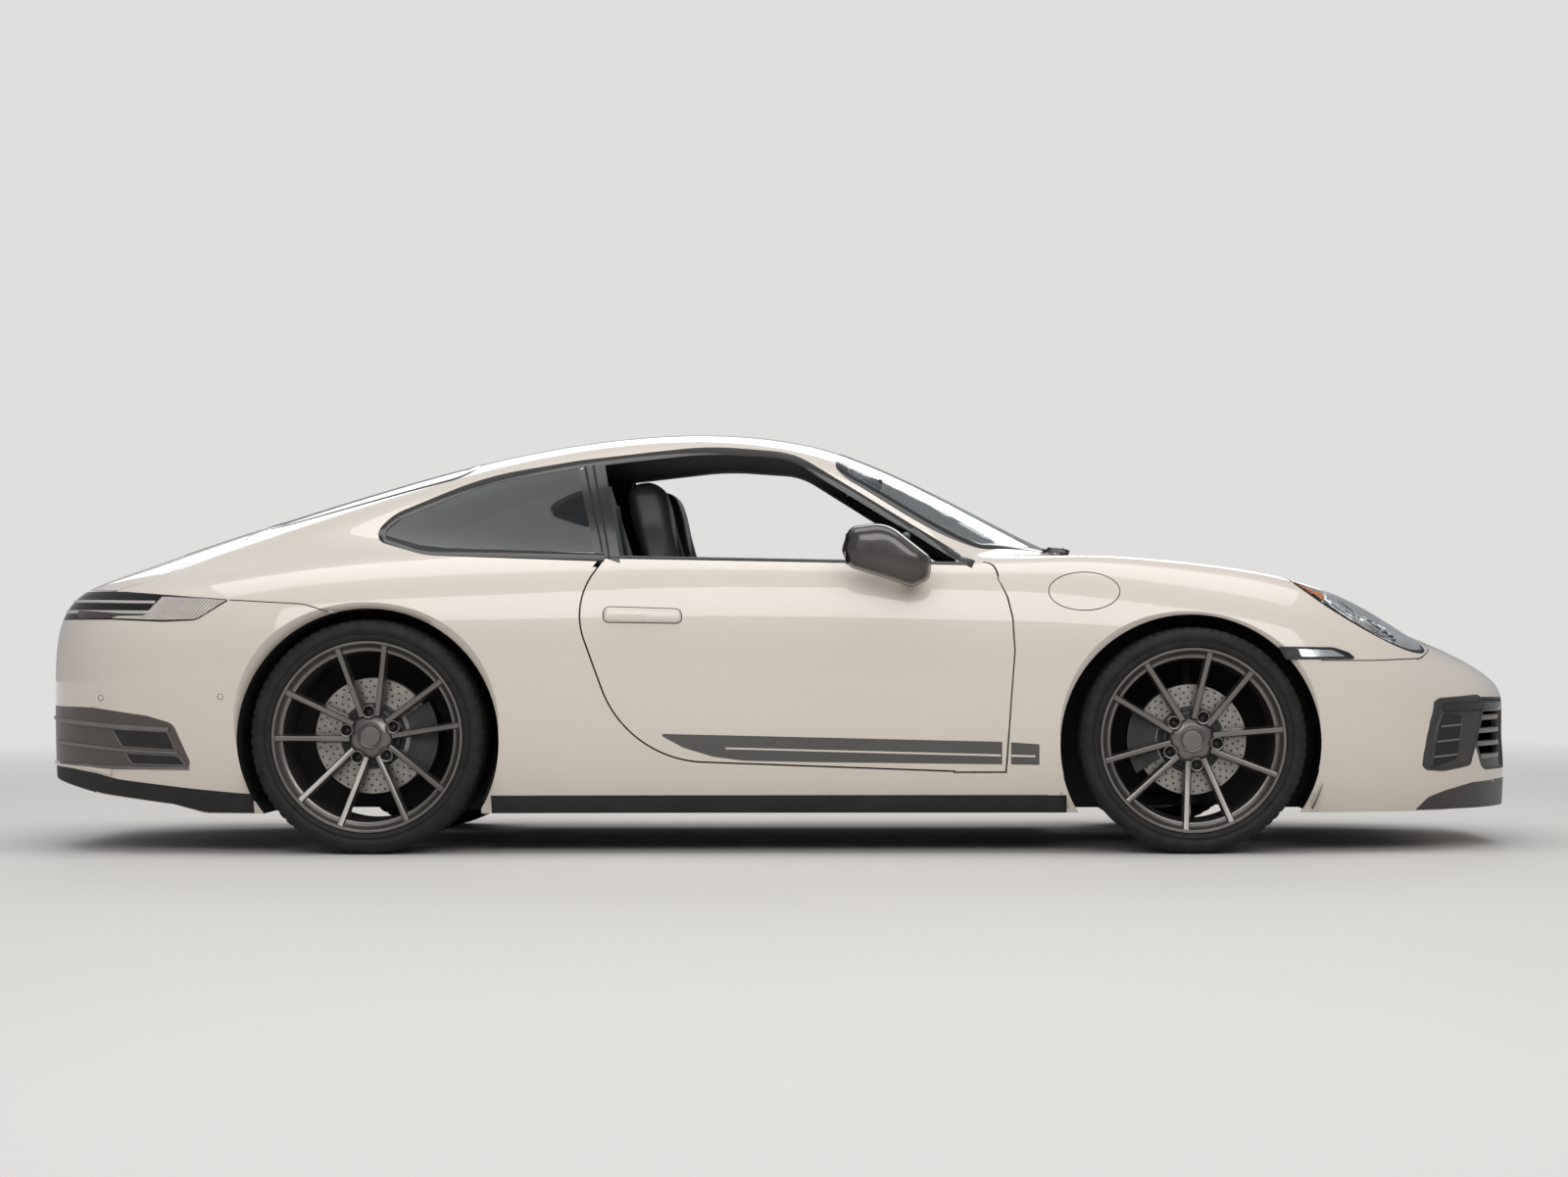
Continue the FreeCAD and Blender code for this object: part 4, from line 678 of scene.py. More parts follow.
# Spoke stations: share of the length, width in front, width behind, depth
SPOKE = ((0, 13, 27, 44), (0.12, 13, 28, 38), (0.4, 12, 27, 32), (0.75, 12, 26, 30), (0.94, 13, 28, 34),
         (1, 15, 32, 40))
SPOKE_SPREAD = 14.8
ROOT_SPREAD = 21
DISC_FRONT = 12
DRILLED_ROWS = (0.66, 0.755, 0.85, 0.94)
DRILLED_COLUMNS = 36
DRILL_RADIUS = 3.4
AXLE_INNER_END = 180.3
# Profiles round the axis, each (radius, outwards): the rim's front from its flange and lip, its back from the
# flange and the inner lip, cap and hub from the hub's front, the tyre's bead from flange and lip, its wall
# from the flange and half the tread, and its shoulder from the tyre's radius and half the tread
RIM_FRONT = ((0, -8), (0, -1.5), (-1.5, 0), (-7, 0), (-9, -1.5), (-12, -9), (-20, -20), (-24, -24),
             (-30, -26), (-31, -29), (-33, -44))
RIM_BACK = ((-20, 14), (-8, 0), (0, 0), (0, 8), (-16, 22))
CAP = ((0.01, 4), (18, 3.6), (29, 2.5), (30.5, 1))
HUB = ((31.5, -8), (31.5, 1.5), (33, 2), (36, -1), (46, -6), (58, -10), (66, -17), (72, -30))
BEAD = ((-5, -5), (1.5, -3), (2.5, 1), (9, 4.5), (13, 6.5), (17, 6), (18.5, 4.5), (20, 6))
WALL = ((28, -1), (30, -0.2), (36, 0), (37.5, -0.8), (42, -1.5))
SHOULDER = ((-14, -6), (-8, -12), (-3.2, -19))
GROOVES = (0.62, 0.22, -0.22, -0.62)
CROWN = 1.2
TREAD_STEPS = 288
NOTCH = 3.5


def moved(profile, radius, out):
    return [(radius + r, out + o) for r, o in profile]


def wheel_place(axle, hand):
    """Local (forwards, upwards, outwards) of a wheel to a point of the car."""
    x, y, radius = AXLES[axle][:3]
    return lambda a, b, out: mm(x + a, hand * (y + out), radius + b)


def spokes(shape, place, azimuth, flange, lip):
    """The two spokes that start beside a wheel bolt."""
    for side in (-1, 1):
        start, end = math.radians(azimuth + side * ROOT_SPREAD), math.radians(azimuth + side * SPOKE_SPREAD)
        root = Vector((math.cos(start), math.sin(start))) * (BOLT_CIRCLE - 10)
        tip = Vector((math.cos(end), math.sin(end))) * (flange - 5)
        way = (tip - root).normalized()
        aside = Vector((-way.y, way.x))
        rows = []
        for share, front, back, depth in SPOKE:
            spot = root.lerp(tip, share)
            top = HUB_FRONT - 4 + (lip - 3 - HUB_FRONT + 4) * share ** 1.25
            section = ((-back / 2, top - depth), (-front / 2 - 2.5, top - 6), (-front / 2 - 0.5, top - 1),
                       (0, top), (front / 2 + 0.5, top - 1), (front / 2 + 2.5, top - 6),
                       (back / 2, top - depth))
            rows.append([place(*(spot + aside * w), out) for w, out in section])
        shape.grid(rows, 0, True)
        shape.cap(rows)


def wheel_shape(axle, hand):
    """Titanium rim (0), dark parts (1), brake disc (2) and holes (3), black patches as painted shade of the
    drilled holes.
    """
    tread, flange, disc, first = AXLES[axle][3:]
    place = wheel_place(axle, hand)
    lip = tread / 2 - 10
    shape = Shape()
    well = [(flange - 38, 10), (flange - 38, -lip * 0.7)]
    profile = moved(RIM_FRONT, flange, lip) + well + moved(RIM_BACK, flange, -lip) + [(flange - 16, lip - 18)]
    shape.turned(profile, place, 144, 0, True)
    for bolt in range(BOLTS):
        azimuth = first + bolt * 360 / BOLTS
        middle = math.radians(azimuth)
        at_a, at_b = BOLT_CIRCLE * math.cos(middle), BOLT_CIRCLE * math.sin(middle)

        def at_bolt(a, b, out):
            return place(at_a + a, at_b + b, out)

        shape.turned([(20.5, 30), (20.5, HUB_FRONT - 4), (19.8, HUB_FRONT + 1), (18.5, HUB_FRONT + 2),
                      (16.5, HUB_FRONT + 1.5), (15.5, HUB_FRONT - 3), (15, 34)], at_bolt, 32)
        shape.turned([(0.01, 50), (7, 50), (8.5, 48), (8.5, 42), (15.2, 41), (15.4, 34)], at_bolt, 6, 1)
        spokes(shape, place, azimuth, flange, lip)
    shape.turned(moved(CAP, 0, HUB_FRONT), place, 48)
    shape.turned(moved(HUB, 0, HUB_FRONT) + [(HUB_RADIUS, 20)], place, 60)
    shape.turned([(HUB_RADIUS, 34), (86, 30), (88, DISC_FRONT)], place, 60, 1)
    shape.turned([(88, DISC_FRONT + 9), (98, DISC_FRONT + 8), (100, DISC_FRONT)], place, 60, 1)
    shape.turned([(90, DISC_FRONT), (disc - 1.5, DISC_FRONT), (disc, DISC_FRONT - 1.5),
                  (disc, DISC_FRONT - 9), (disc - 7, DISC_FRONT - 9), (disc - 7, DISC_FRONT - 24),
                  (disc, DISC_FRONT - 24), (disc, -22), (90, -22)], place, 120, 2, True)
    # Drilled holes as black patches on the disc face: painted shade of the holes
    for column in range(DRILLED_COLUMNS):
        for row, share in enumerate(DRILLED_ROWS):
            turn = math.radians(column * 360 / DRILLED_COLUMNS + row * 4.2)
            a, b = disc * share * math.cos(turn), disc * share * math.sin(turn)
            ring = [place(a + DRILL_RADIUS * math.cos(t), b + DRILL_RADIUS * math.sin(t), DISC_FRONT + 0.35)
                    for t in (k * math.pi / 4 for k in range(8))]
            shape.put(ring, [tuple(range(8))], 3)
    if axle == "rear":
        inner = AXLE_INNER_END - AXLES[axle][1]
        shape.turned([(0.01, 20), (30, 20), (30, -95), (16, -97), (16, inner), (0.01, inner)], place, 24, 1)
    return shape


def tyre_shape(axle, hand):
    """Rubber with four grooves round the tread and a notched shoulder."""
    radius, tread, flange = AXLES[axle][2:5]
    half, lip = tread / 2, tread / 2 - 10
    flat = half - 24
    side = moved(BEAD, flange, lip) + moved(WALL, flange, half) + moved(SHOULDER, radius, half)
    top = [(radius - CROWN, flat)]
    for share in GROOVES:
        at = flat * share
        lift = radius - CROWN * share ** 2
        top += [(lift, at + 5), (lift - 7, at + 4), (lift - 7, at - 4), (lift, at - 5)]
    top += [(radius - CROWN, -flat)]
    profile = side + top + [(r, -out) for r, out in reversed(side)]
    notched = {index for index, (r, out) in enumerate(profile) if r > radius - 10 and abs(out) > flat - 1}
    place = wheel_place(axle, hand)
    rows = []
    for index, (r, out) in enumerate(profile):
        row = []
        for k in range(TREAD_STEPS):
            reach = r - NOTCH if index in notched and k % 4 == 0 else r
            angle = 2 * math.pi * k / TREAD_STEPS
            row.append(place(reach * math.cos(angle), reach * math.sin(angle), out))
        rows.append(row)
    shape = Shape()
    shape.grid(rows, 0, True)
    return shape


for axle in AXLES:
    for hand, side in SIDES:
        body = axle + "_" + side
        wheel_shape(axle, hand).show("wheel_" + body + "_spokes", body, "rim",
                                     [TITANIUM, DARK_METAL, DISC_STEEL, LINER], ["wheel_" + body])
        tyre_shape(axle, hand).show("tyre_" + body + "_rubber", body, "tyre", [RUBBER], ["tyre_" + body], 40)

# Black window trim: outlines in the side view, (x, z, corner radius)
WINDOW_TOP = [(600, 850), (566, 868), (50, 1190, 220), (-200, 1209, 900), (-592, 1166, 900),
              (-880, 1120, 900), (-1150, 1006, 120), (-1192, 958, 12), (-1040, 914, 300), (-500, 893)]
PILLAR = [(-452, 866), (-519, 1186), (-606, 1180), (-530, 892)]
BELT_LINE = [(-508, 887), (-262, 882), (193, 872), (585, 863)]
GLASS_LINES = [[(-508, 899), (-577, 1166)], [(-486, 880), (-552, 1170)]]
WINDSCREEN = [(190, -552, 60), (204, 0, 3500), (190, 552, 60), (640, 668, 50), (835, 500, 400), (885, 0, 900),
              (835, -500, 400), (640, -668, 50)]
REAR_WINDOW = [(-935, 505, 70), (-935, -505, 70), (-1600, -425, 90), (-1600, 425, 90)]
TRIM_RUN = 150

for hand, side in SIDES:
    seen = from_side(hand)
    trim = Shape()
    top = rounded(WINDOW_TOP, closed=False)
    trim.strip(top, [(-3, 0.2), (-1, 2.2), (20, 2.2), (22, 0.5), (23, -4)], seen, False)
    trim.strip(top[:TRIM_RUN], [(23, -4), (26, -3), (44, -5), (46, -12)], seen, False, 1)
    trim.patch(rounded(PILLAR), seen, 1.0)
    for line in GLASS_LINES:
        trim.strip(rounded(line, closed=False), ridge(3.5, 0.8, 3), seen, False, 1)
    trim.show("window_trim_" + side, "car", "dark_trim", [GLOSS_TRIM, RUBBER])
    belt = Shape()
    belt.strip(rounded(BELT_LINE, closed=False), [(-2, -6), (-1.5, 2), (5, 2), (7, 0.3)], seen, False)
    belt.show("belt_strip_" + side, "door_" + side, "dark_trim", [BLACK_TRIM])

border = Shape()
border.strip(rounded(WINDSCREEN), [(4, 0.2), (2, 1.2), (-34, 0.7), (-36, 0.1)], from_top)
border.strip(rounded(REAR_WINDOW), [(4, 0.2), (2, 1.2), (-30, 0.7), (-32, 0.1)], from_top)
border.show("window_borders", "car", "dark_trim", [GLOSS_BLACK])

# Wipers rest along the foot of the windscreen: (x, y) from pivot to tip
WIPERS = [[(902, -120), (880, -260), (838, -455)], [(905, 330), (896, 170), (880, -20)]]
wipers = Shape()
for arm in WIPERS:
    wipers.tube([from_top(x, y, 16) for x, y in arm], 7, 8)
    blade = [from_top(x, y, 7) for x, y in even(np.array(arm[1:], float) + (-14, 0), 30, False)]
    wipers.tube(blade, 5, 6)
    wipers.tube([from_top(*arm[0], 2), from_top(*arm[0], 26)], 14, 16)
wipers.show("wipers", "car", "dark_trim", [BLACK_TRIM])

# Stripe low on each side, with its thin light line and no lettering, split at the door's front edge
STRIPE_TOP = [(-322, 357), (-300, 356), (696, 331), (806, 323)]
STRIPE_FOOT = [(-322, 349), (-262, 316), (-172, 288), (-80, 276), (100, 272), (696, 264), (806, 262)]
LIGHT_TOP = [(-134, 316), (790, 291)]
LIGHT_FOOT = [(-134, 311), (790, 285)]


def level(line, x):
    """Height of a line of (x, z) at x."""
    return np.interp(x, *zip(*line))


def span(foot, top, xs, shares, seen, lift, bulge=0):
    """Rows of points between two lines of (x, z)."""
    return [[seen(x, level(foot, x) * (1 - t) + level(top, x) * t, lift + bulge * math.sin(math.pi * t))
             for x in xs] for t in shares]


for hand, side in SIDES:
    for body, start, end in (("door_" + side, -322, 686), ("car", 712, 806)):
        stripe = Shape()
        for top, foot, first, last, lift, kind in (
                (STRIPE_TOP, STRIPE_FOOT, start, end, 0.5, 0),
                (LIGHT_TOP, LIGHT_FOOT, max(start, -134), min(end, 790), 0.9, 1)):
            stripe.grid(span(foot, top, np.arange(first, last + 1, 12), np.linspace(0, 1, 6),
                             from_side(hand), lift), kind)
        stripe.show("stripe_%s_%s" % (side, body), body, "dark_trim", [STRIPE, CHALK])

# Door handles: a body-coloured pad with a rolled edge, over a shadow line
HANDLE = [(-495, 691, 12), (-267, 687, 12), (-267, 725, 16), (-495, 733, 16)]
for hand, side in SIDES:
    handle = Shape()
    edge = rounded(HANDLE, 6)
    handle.strip(edge, [(1.5, 0), (1, 4), (-1, 8), (-5, 10.5), (-9, 11.5)], from_side(hand))
    handle.patch(edge + across(edge, True) * -9, from_side(hand), 11.5, 10)
    handle.strip(edge, [(4, 0.2), (3.4, 0.5), (1, 0.5)], from_side(hand), True, 1)
    handle.show("door_handle_" + side, "door_" + side, "paint", [CHALK, LINER], sharp=50)

# Seams that the panels' joints show, and the fuel flap on the right wing: thin dark lines on the skin
SEAMS = [[(1626, 570), (1780, 569), (1940, 574), (1985, 585), (2010, 640)],
         [(-1619, 759), (-1393, 746), (-1312, 722)]]
# The flap's x and z and its two half widths
FLAP = (931, 777, 105, 57)
seams = Shape()
for hand, _ in SIDES:
    for line in SEAMS:
        seams.strip(bent(line, 120), ridge(1.6, 0.1, 0.4, 0.4), from_side(hand), False)
flap_x, flap_z, flap_a, flap_b = FLAP
turns = np.linspace(0, 2 * math.pi, 96, False)
oval = np.column_stack([flap_x + flap_a * np.cos(turns), flap_z + flap_b * np.sin(turns)])
seams.strip(oval, ridge(1.4, 0.1, 0.4, 0.4), from_side(-1))
seams.show("body_seams", "car", "dark_trim", [LINER])

# Closed sheets on the skin: black sheets low on sills and tail, painted shade of the car's lower edge,
# and the skirts that end the front arches.
# SILL_FOOT is x and z from and to, FRONT_ARCH the arch's x and z and the skirt's inner and outer radius
SHEET_FOOT = 119.5
SILL_FOOT = (-838, 885, SHEET_FOOT, 172)
FRONT_ARCH = (1242.5, 322, 387, 448)
SKIRT_TOP = 268
REAR_FOOT = ((-2240, 254), (-2150, 250), (-2053, 238), (-1971, 220), (-1872, 209), (-1747, 195), (-1609, 182),
             (-1553, 178))
REAR_UNDER = ((-2240, 220), (-2030, 176), (-1800, 147), (-1700, 121), (-1500, SHEET_FOOT))
LIP_UPPER = ((-2240, 268), (-2067, 264), (-1989, 250))


def sheet(shape, rows):
    """A closed sheet from a function of lift that gives rows of points."""
    top, bottom = rows(0.6), rows(-3)
    shape.grid(top)
    shape.grid(bottom)
    for end in (0, -1):
        shape.grid([top[end], bottom[end]])
    for end in (0, -1):
        shape.grid([[row[end] for row in top], [row[end] for row in bottom]])


skirts, foot = Shape(), Shape()
start, end, low, high = SILL_FOOT
rear_xs = np.linspace(REAR_FOOT[0][0], REAR_FOOT[-1][0], 40)
lip_xs = np.linspace(-2240, -1995, 18)
for hand, _ in SIDES:
    seen = from_side(hand)
    # Black sheets low on the sill and under the tail: painted shade of the car's lower edge
    sheet(foot, lambda lift: [[seen(x, z, lift + 2) for x in np.arange(start, end, 26)]
                              for z in np.linspace(low, high, 7)])
    sheet(foot, lambda lift: span(REAR_UNDER, REAR_FOOT, rear_xs, np.linspace(0, 1, 6), seen, lift))
    sheet(skirts, lambda lift: span(REAR_FOOT, LIP_UPPER, lip_xs, np.linspace(0, 1, 9), seen, lift, 6))
    at_x, at_z, near, far = FRONT_ARCH
    for way in (-1, 1):
        sheet(skirts, lambda lift: [[seen(at_x + way * math.sqrt(r * r - (z - at_z) ** 2), z, lift + 1.2)
                                     for r in np.linspace(near, far, 5)]
                                    for z in np.linspace(SHEET_FOOT, SKIRT_TOP, 16)])
skirts.show("arch_skirts", "car", "paint", [CHALK])
foot.show("sill_and_tail_painted_shade", "car", "underbody", [LINER])

# The front lip: a grey film low on the nose, from side to side
LIP_TOP = [(1925, 122), (1963, 160), (2018, 179), (2109, 200), (2259, 206)]
LIP_FOOT = 121
LIP_MIDDLE = 205
lip = Shape()
rows = []
for share in np.linspace(0, 1, 9):
    right, left = ([from_side(hand)(x, LIP_FOOT + (level(LIP_TOP, x) - LIP_FOOT) * share, 0.7)
                    for x in np.arange(1925, 2180, 12)] for hand in (-1, 1))
    front = [from_front(y, LIP_FOOT + (LIP_MIDDLE - LIP_FOOT) * share, 0.7) for y in np.arange(-480, 481, 24)]
    rows.append(right + front + left[::-1])
lip.grid(rows)
lip.show("front_lip", "car", "dark_trim", [LIP_GREY])

# Black strips across the rear lid's slotted area, painted shade of its slots:
# x in front and behind, half width in front and behind
LID_SLOT_SHADE = (-1660, -1860, 300, 360)
SHADE_STRIPS_EACH_SIDE = 7
slot_shade = Shape()
for index in range(-SHADE_STRIPS_EACH_SIDE, SHADE_STRIPS_EACH_SIDE + 1):
    rows = []
    for share in np.linspace(0, 1, 12):
        x = LID_SLOT_SHADE[0] + (LID_SLOT_SHADE[1] - LID_SLOT_SHADE[0]) * share
        middle = (LID_SLOT_SHADE[2] + (LID_SLOT_SHADE[3] - LID_SLOT_SHADE[2]) * share) * index / SHADE_STRIPS_EACH_SIDE
        rows.append([from_top(x, middle + reach, lift) for reach, lift in ridge(14, 0.3, 0.6, 2)])
    slot_shade.grid(rows)
slot_shade.show("lid_slot_shade", "rear_lid", "dark_trim", [LINER])

# Mirrors: rings of the outline from the glass side outwards, (y, scale)
MIRROR = [(214, 900, 26), (236, 966, 34), (345, 982, 110), (478, 876, 30), (472, 812, 30), (420, 790, 30),
          (350, 815, 120), (235, 850, 34)]
MIRROR_RINGS = [(915, 0.6), (913, 0.86), (917, 0.93), (928, 0.985), (945, 1.0), (965, 0.985), (985, 0.93),
                (998, 0.84), (1006, 0.7), (1009.5, 0.45), (1010, 0.12), (1010, 0.004)]
MIRROR_RIM = 938
MIRROR_FOOT = ((420, 800, 812), (418, 860, 815), (400, 905, 830), (372, 930, 858))
MIRROR_GLASS = ((232, 918, 852), (226, 990, 856), (226, 994, 945), (236, 918, 952))
for hand, side in SIDES:
    mirror = Shape()
    line = rounded(MIRROR, 10)
    middle = np.array([352, 885])
    mirror.grid([[mm(x, hand * y, z) for x, z in middle + (line - middle) * scale]
                 for y, scale in MIRROR_RINGS], 0, True)

    def on_rim(a, b, lift):
        return mm(a, hand * (MIRROR_RIM + lift), b)

    mirror.strip(line, [(0, 0), (1.5, 2), (0.5, 4)], on_rim, True, 2)
    mirror.tube([mm(x, hand * y, z) for x, y, z in MIRROR_FOOT], 22, 16, 1)
    mirror.put([mm(x, hand * y, z) for x, y, z in MIRROR_GLASS], [(0, 1, 2, 3)], 3)
    mirror.show("mirror_%s_shell" % side, "door_" + side, "mirror_shell",
                [BRONZE, BLACK_TRIM, BRONZE_EDGE, CHROME], ["mirror_" + side], 50)

# Black liners close the wheel arches: place of the arch and (radius, y) from the middle outwards
LINERS = (("front", 1242.5, 322, ((150, 474), (397, 474), (409, 486), (409, 848))),
          ("rear", -1201.5, 340, ((150, 579), (376, 579), (388, 591), (388, 880))))
# A flat black sheet below each liner, painted shade of the ground's shadow seen through the wheel:
# distance from its middle and height
SHADE_SHEET = ((-250, 126), (250, 126), (250, 250), (-250, 250))
for name, x, z, profile in LINERS:
    liner = Shape()
    for hand, _ in SIDES:
        turns = [math.radians(angle) for angle in range(-28, 209, 4)]
        liner.grid([[mm(x + r * math.cos(t), hand * y, z + r * math.sin(t)) for t in turns]
                    for r, y in profile])
        liner.put([mm(x + dx, hand * (profile[0][1] - 1), low) for dx, low in SHADE_SHEET], [(0, 1, 2, 3)])
    liner.show("arch_liners_and_painted_shade_" + name, "car", "underbody", [LINER])

# Headlamps. Their outline is a circle in the front view, here with y and z of its middle in millimetres
HEADLAMP = (690, 706)
LAMP_MODULES = [(-32, -32), (34, -30), (-32, 36), (30, 34)]
AMBER_CORNER = [(1592, 786), (1640, 776, 10), (1664, 752, 10), (1622, 748, 10)]
BEZELS = [([(1628, 742), (1700, 686), (1788, 637), (1855, 600)], 6),
          ([(1672, 744), (1740, 690), (1850, 614)], 3), ([(1700, 752), (1770, 698), (1856, 628)], 2)]


def lamp_point(hand, y, z, back=0.0, lift=0.0):
    """A place in the headlamp: behind the skin point seen from the front."""
    return from_front(hand * y, z, lift) - mm(back, 0, 0)


def lamp_ring(hand, radius, back=0.0, lift=0.0, start=0, end=360, count=96):
    """Points at a radius of the headlamp; zero degrees is outwards and ninety is up."""
    turns = np.radians(np.linspace(start, end, count, endpoint=end - start < 360))
    y, z = HEADLAMP
    return [lamp_point(hand, y + radius * math.cos(t), z + radius * math.sin(t), back, lift) for t in turns]


def slab(shape, line, place, top, bottom, step=25, kind=0):
    """A closed sheet between two lifts over the inside of an outline."""
    shape.patch(line, place, top, step, kind)
    shape.patch(line, place, bottom, step, kind)
    shape.grid([[place(a, b, lift) for a, b in line] for lift in (top, bottom)], kind, True)


for hand, side in SIDES:
    lens = Shape()
    radii = list(np.linspace(1, 111.5, 15))
    lens.grid([lamp_ring(hand, r) for r in radii] + [lamp_ring(hand, r, lift=-3.5) for r in reversed(radii)],
              0, True, True)
    lens.show("headlamp_lens_" + side, "car", "lamp_front", [LENS_GLASS], sharp=60)
    lamp = Shape()
    lamp.grid([lamp_ring(hand, r, back, lift)
               for r, back, lift in ((116.6, 30, 0), (116.6, 0, -1.5), (115.6, 0, 0), (112.6, 0, 0.2),
                                     (111.6, 0, -1.5), (111.6, 24, 0))], 0, True)
    lamp.grid([lamp_ring(hand, r, back) for r, back in ((111, 6), (108, 50), (100, 90), (60, 96), (1, 96))],
              0, True)
    for start, end, kind in ((-165, 36, 1), (36, 92, 2)):
        lamp.grid([lamp_ring(hand, r, back, 0, start, end, 40)
                   for r, back in ((108, 6), (99, 13), (90, 24), (80, 40))], kind)
    for radius, back in ((74, 30), (62, 34), (50, 38)):
        lamp.grid([lamp_ring(hand, radius + reach, back + deep, 0, -150, 70, 40)
                   for reach, deep in ((-2.5, 5), (-1.5, 0), (1.5, 0), (2.5, 5))], 1)
    seen = from_side(hand)
    lamp.patch(rounded(AMBER_CORNER), seen, -4.2, 12, 2)
    for line, half in BEZELS:
        lamp.strip(bent(line, 60), ridge(half, -9, -5, 0), seen, False, 1)
    for dy, dz in LAMP_MODULES:
        middle = lamp_point(hand, HEADLAMP[0] + dy, HEADLAMP[1] + dz, 74)

        def ahead(a, b, out):
            return middle + mm(out, a, b)

        lamp.turned([(0.01, 8), (10, 7), (17, 3), (20, 0)], ahead, 40, 3)
        lamp.turned([(20, 0), (21, 2), (24, 2), (25, 0), (25, -20)], ahead, 40, 1)
    lamp.show("headlamp_" + side, "car", "lamp_front", [LINER, CHROME, AMBER, GLOSS_BLACK],
              ["headlamps"] if hand > 0 else (), 40)

# Side markers in the wings: a lens over a reflector, in a black rim
MARKER = [(1502, 609), (1521, 575), (1727, 575), (1711, 590, 30), (1664, 606, 60)]
for hand, side in SIDES:
    seen = from_side(hand)
    marker = Shape()
    slab(marker, rounded(MARKER), seen, 3.2, 1.4)
    marker.patch(rounded(MARKER), seen, 0.3, 25, 2)
    marker.patch(rounded([(1560, 603), (1566, 581), (1700, 581), (1660, 600)]), seen, 0.8, 25, 1)
    marker.strip(rounded(MARKER), [(2.5, 0), (2, 2.6), (-1, 3.6), (-2.5, 3.2)], seen, True, 2)
    marker.show("side_marker_" + side, "car", "lamp_front", [LENS_GLASS, CHROME, BLACK_TRIM])

# Tail lamp: bright bars (start, end, half height), ribbed lenses at its ends, a dark reflector below each
BARS = [((-1852, 753.5), (-2300, 763), 4.2), ((-1884, 723), (-2300, 729.5), 5.5)]
RIBBED_LENS = [(-1836, 771), (-1700, 765), (-1624, 759), (-1716, 700.5, 60), (-1823, 698), (-2006, 705),
               (-1996, 714), (-1886, 715)]
REFLECTOR = [(-2125, 730, 6), (-2040, 725, 6), (-1955, 718), (-1998, 706), (-2118, 706, 6)]


def round_the_tail(height, lift):
    """Points along the side, across the back and along the other side at height(x)."""
    row = [from_side(-1)(x, height(x), lift) for x in np.arange(-1856, -2112, -12)]
    for y in np.arange(-684, 685, 24):
        x = from_back(y, height(-2240), 0).x / MM
        row.append(from_back(y, height(x), lift))
    return row + [from_side(1)(x, height(x), lift) for x in np.arange(-2108, -1855, 12)]


tail = Shape()
for start, end, half in BARS:
    tail.grid([round_the_tail(lambda x: np.interp(x, [end[0], start[0]], [end[1], start[1]]) + dz, lift)
               for dz, lift in ridge(half, -1, 1.8, 1, 2.8)])
for hand, side in SIDES:
    seen = from_side(hand)
    edge = rounded(RIBBED_LENS)
    slab(tail, edge, seen, 1.4, -0.5, kind=1)
    # Ribs across each lens in dark grey: painted shade of the lens's ribbing
    for start in np.arange(-2000, -1630, 11):
        rib = [(start + (z - 714) * 50 / 58, z) for z in np.linspace(700, 770, 15)]
        rib = [spot for spot in rib if inside(edge, *spot)]
        if len(rib) > 2:
            tail.strip(np.array(rib), [(-1, 1.3), (0, 2.0), (1, 1.3)], seen, False, 4)
    tail.strip(edge, [(1.5, 0.2), (1.2, 1.6), (-1.2, 2), (-1.8, 1)], seen, True, 2)
    slab(tail, rounded(REFLECTOR), seen, 3.5, -0.5, kind=3)
tail.show("tail_lamp_details", "car", "lamp_rear", [LIGHT_BAR, RIBBED, BLACK_TRIM, DARK_LENS, FIN_GREY])

# Rear insert: fins (line, half height), vents, a blank plate and sensors
VENTS = [[(-1990, 374), (-1806, 366, 10), (-1782, 309), (-1955, 318)],
         [(-1948, 302), (-1775, 294), (-1750, 263), (-1925, 267)]]
FINS = [([(-2228, 402), (-2120, 391), (-1960, 379), (-1800, 372)], 7),
        ([(-2205, 331), (-2080, 320), (-1960, 310), (-1776, 301)], 5),
        ([(-2196, 263), (-2030, 258), (-1742, 256)], 5)]
SENSORS = [(-2026, 466), (-1640, 470)]
for hand, side in SIDES:
    seen = from_side(hand)
    insert = Shape()
    for line, half in FINS:
        insert.strip(bent(line, 400), ridge(half, -2, 4, 1, 6), seen, False)
    for vent in VENTS:
        insert.patch(rounded(vent), seen, 0.5, 25, 1)
        insert.strip(rounded(vent), [(1, 0), (0, 2), (-2, 2), (-3, 0.4)], seen, True, 0)
    insert.show("rear_fins_" + side, "car", "dark_trim", [FIN_GREY, LINER])
    dots = Shape()
    for x, z in SENSORS:
        def at_dot(a, b, out):
            return seen(x + a, z + b, out)

        dots.turned([(9.5, 0.1), (9, 0.5), (8, 0.1)], at_dot, 24, 1)
        dots.turned([(7.6, 0.2), (6.5, 0.7), (0.01, 0.8)], at_dot, 24)
    dots.show("sensors_" + side, "car", "paint", [CHALK, LINER])
PLATE = [(-255, 308, 8), (255, 308, 8), (255, 412, 8), (-255, 412, 8)]
PLATE_BACK = 0.6


def on_plate(a, b, out):
    return Vector((TAIL + (PLATE_BACK - out) * MM, a * MM, b * MM))


plate = Shape()
slab(plate, rounded(PLATE), on_plate, 0.4, -4, 60)
plate.strip(rounded(PLATE), [(0, 0.4), (-1, 0.6), (-3, 0.6), (-4, 0.4)], on_plate, True, 1)
plate.show("blank_plate", "car", "dark_trim", [PLATE_WHITE, BLACK_TRIM])

# Exhaust tips with a rolled bright edge
tips = Shape()
for y in (-95, 95):
    def out_of_tail(a, b, out):
        return mm(-2238 - out, y + a, 268 + b)

    tips.turned([(48.5, -60), (48.8, -4), (48.5, -0.5), (46.5, 0.8), (44, 0), (43, -4), (42, -110),
                 (0.01, -112)], out_of_tail, 64)
tips.show("exhaust_tips", "car", "exhaust_steel", [CHROME])

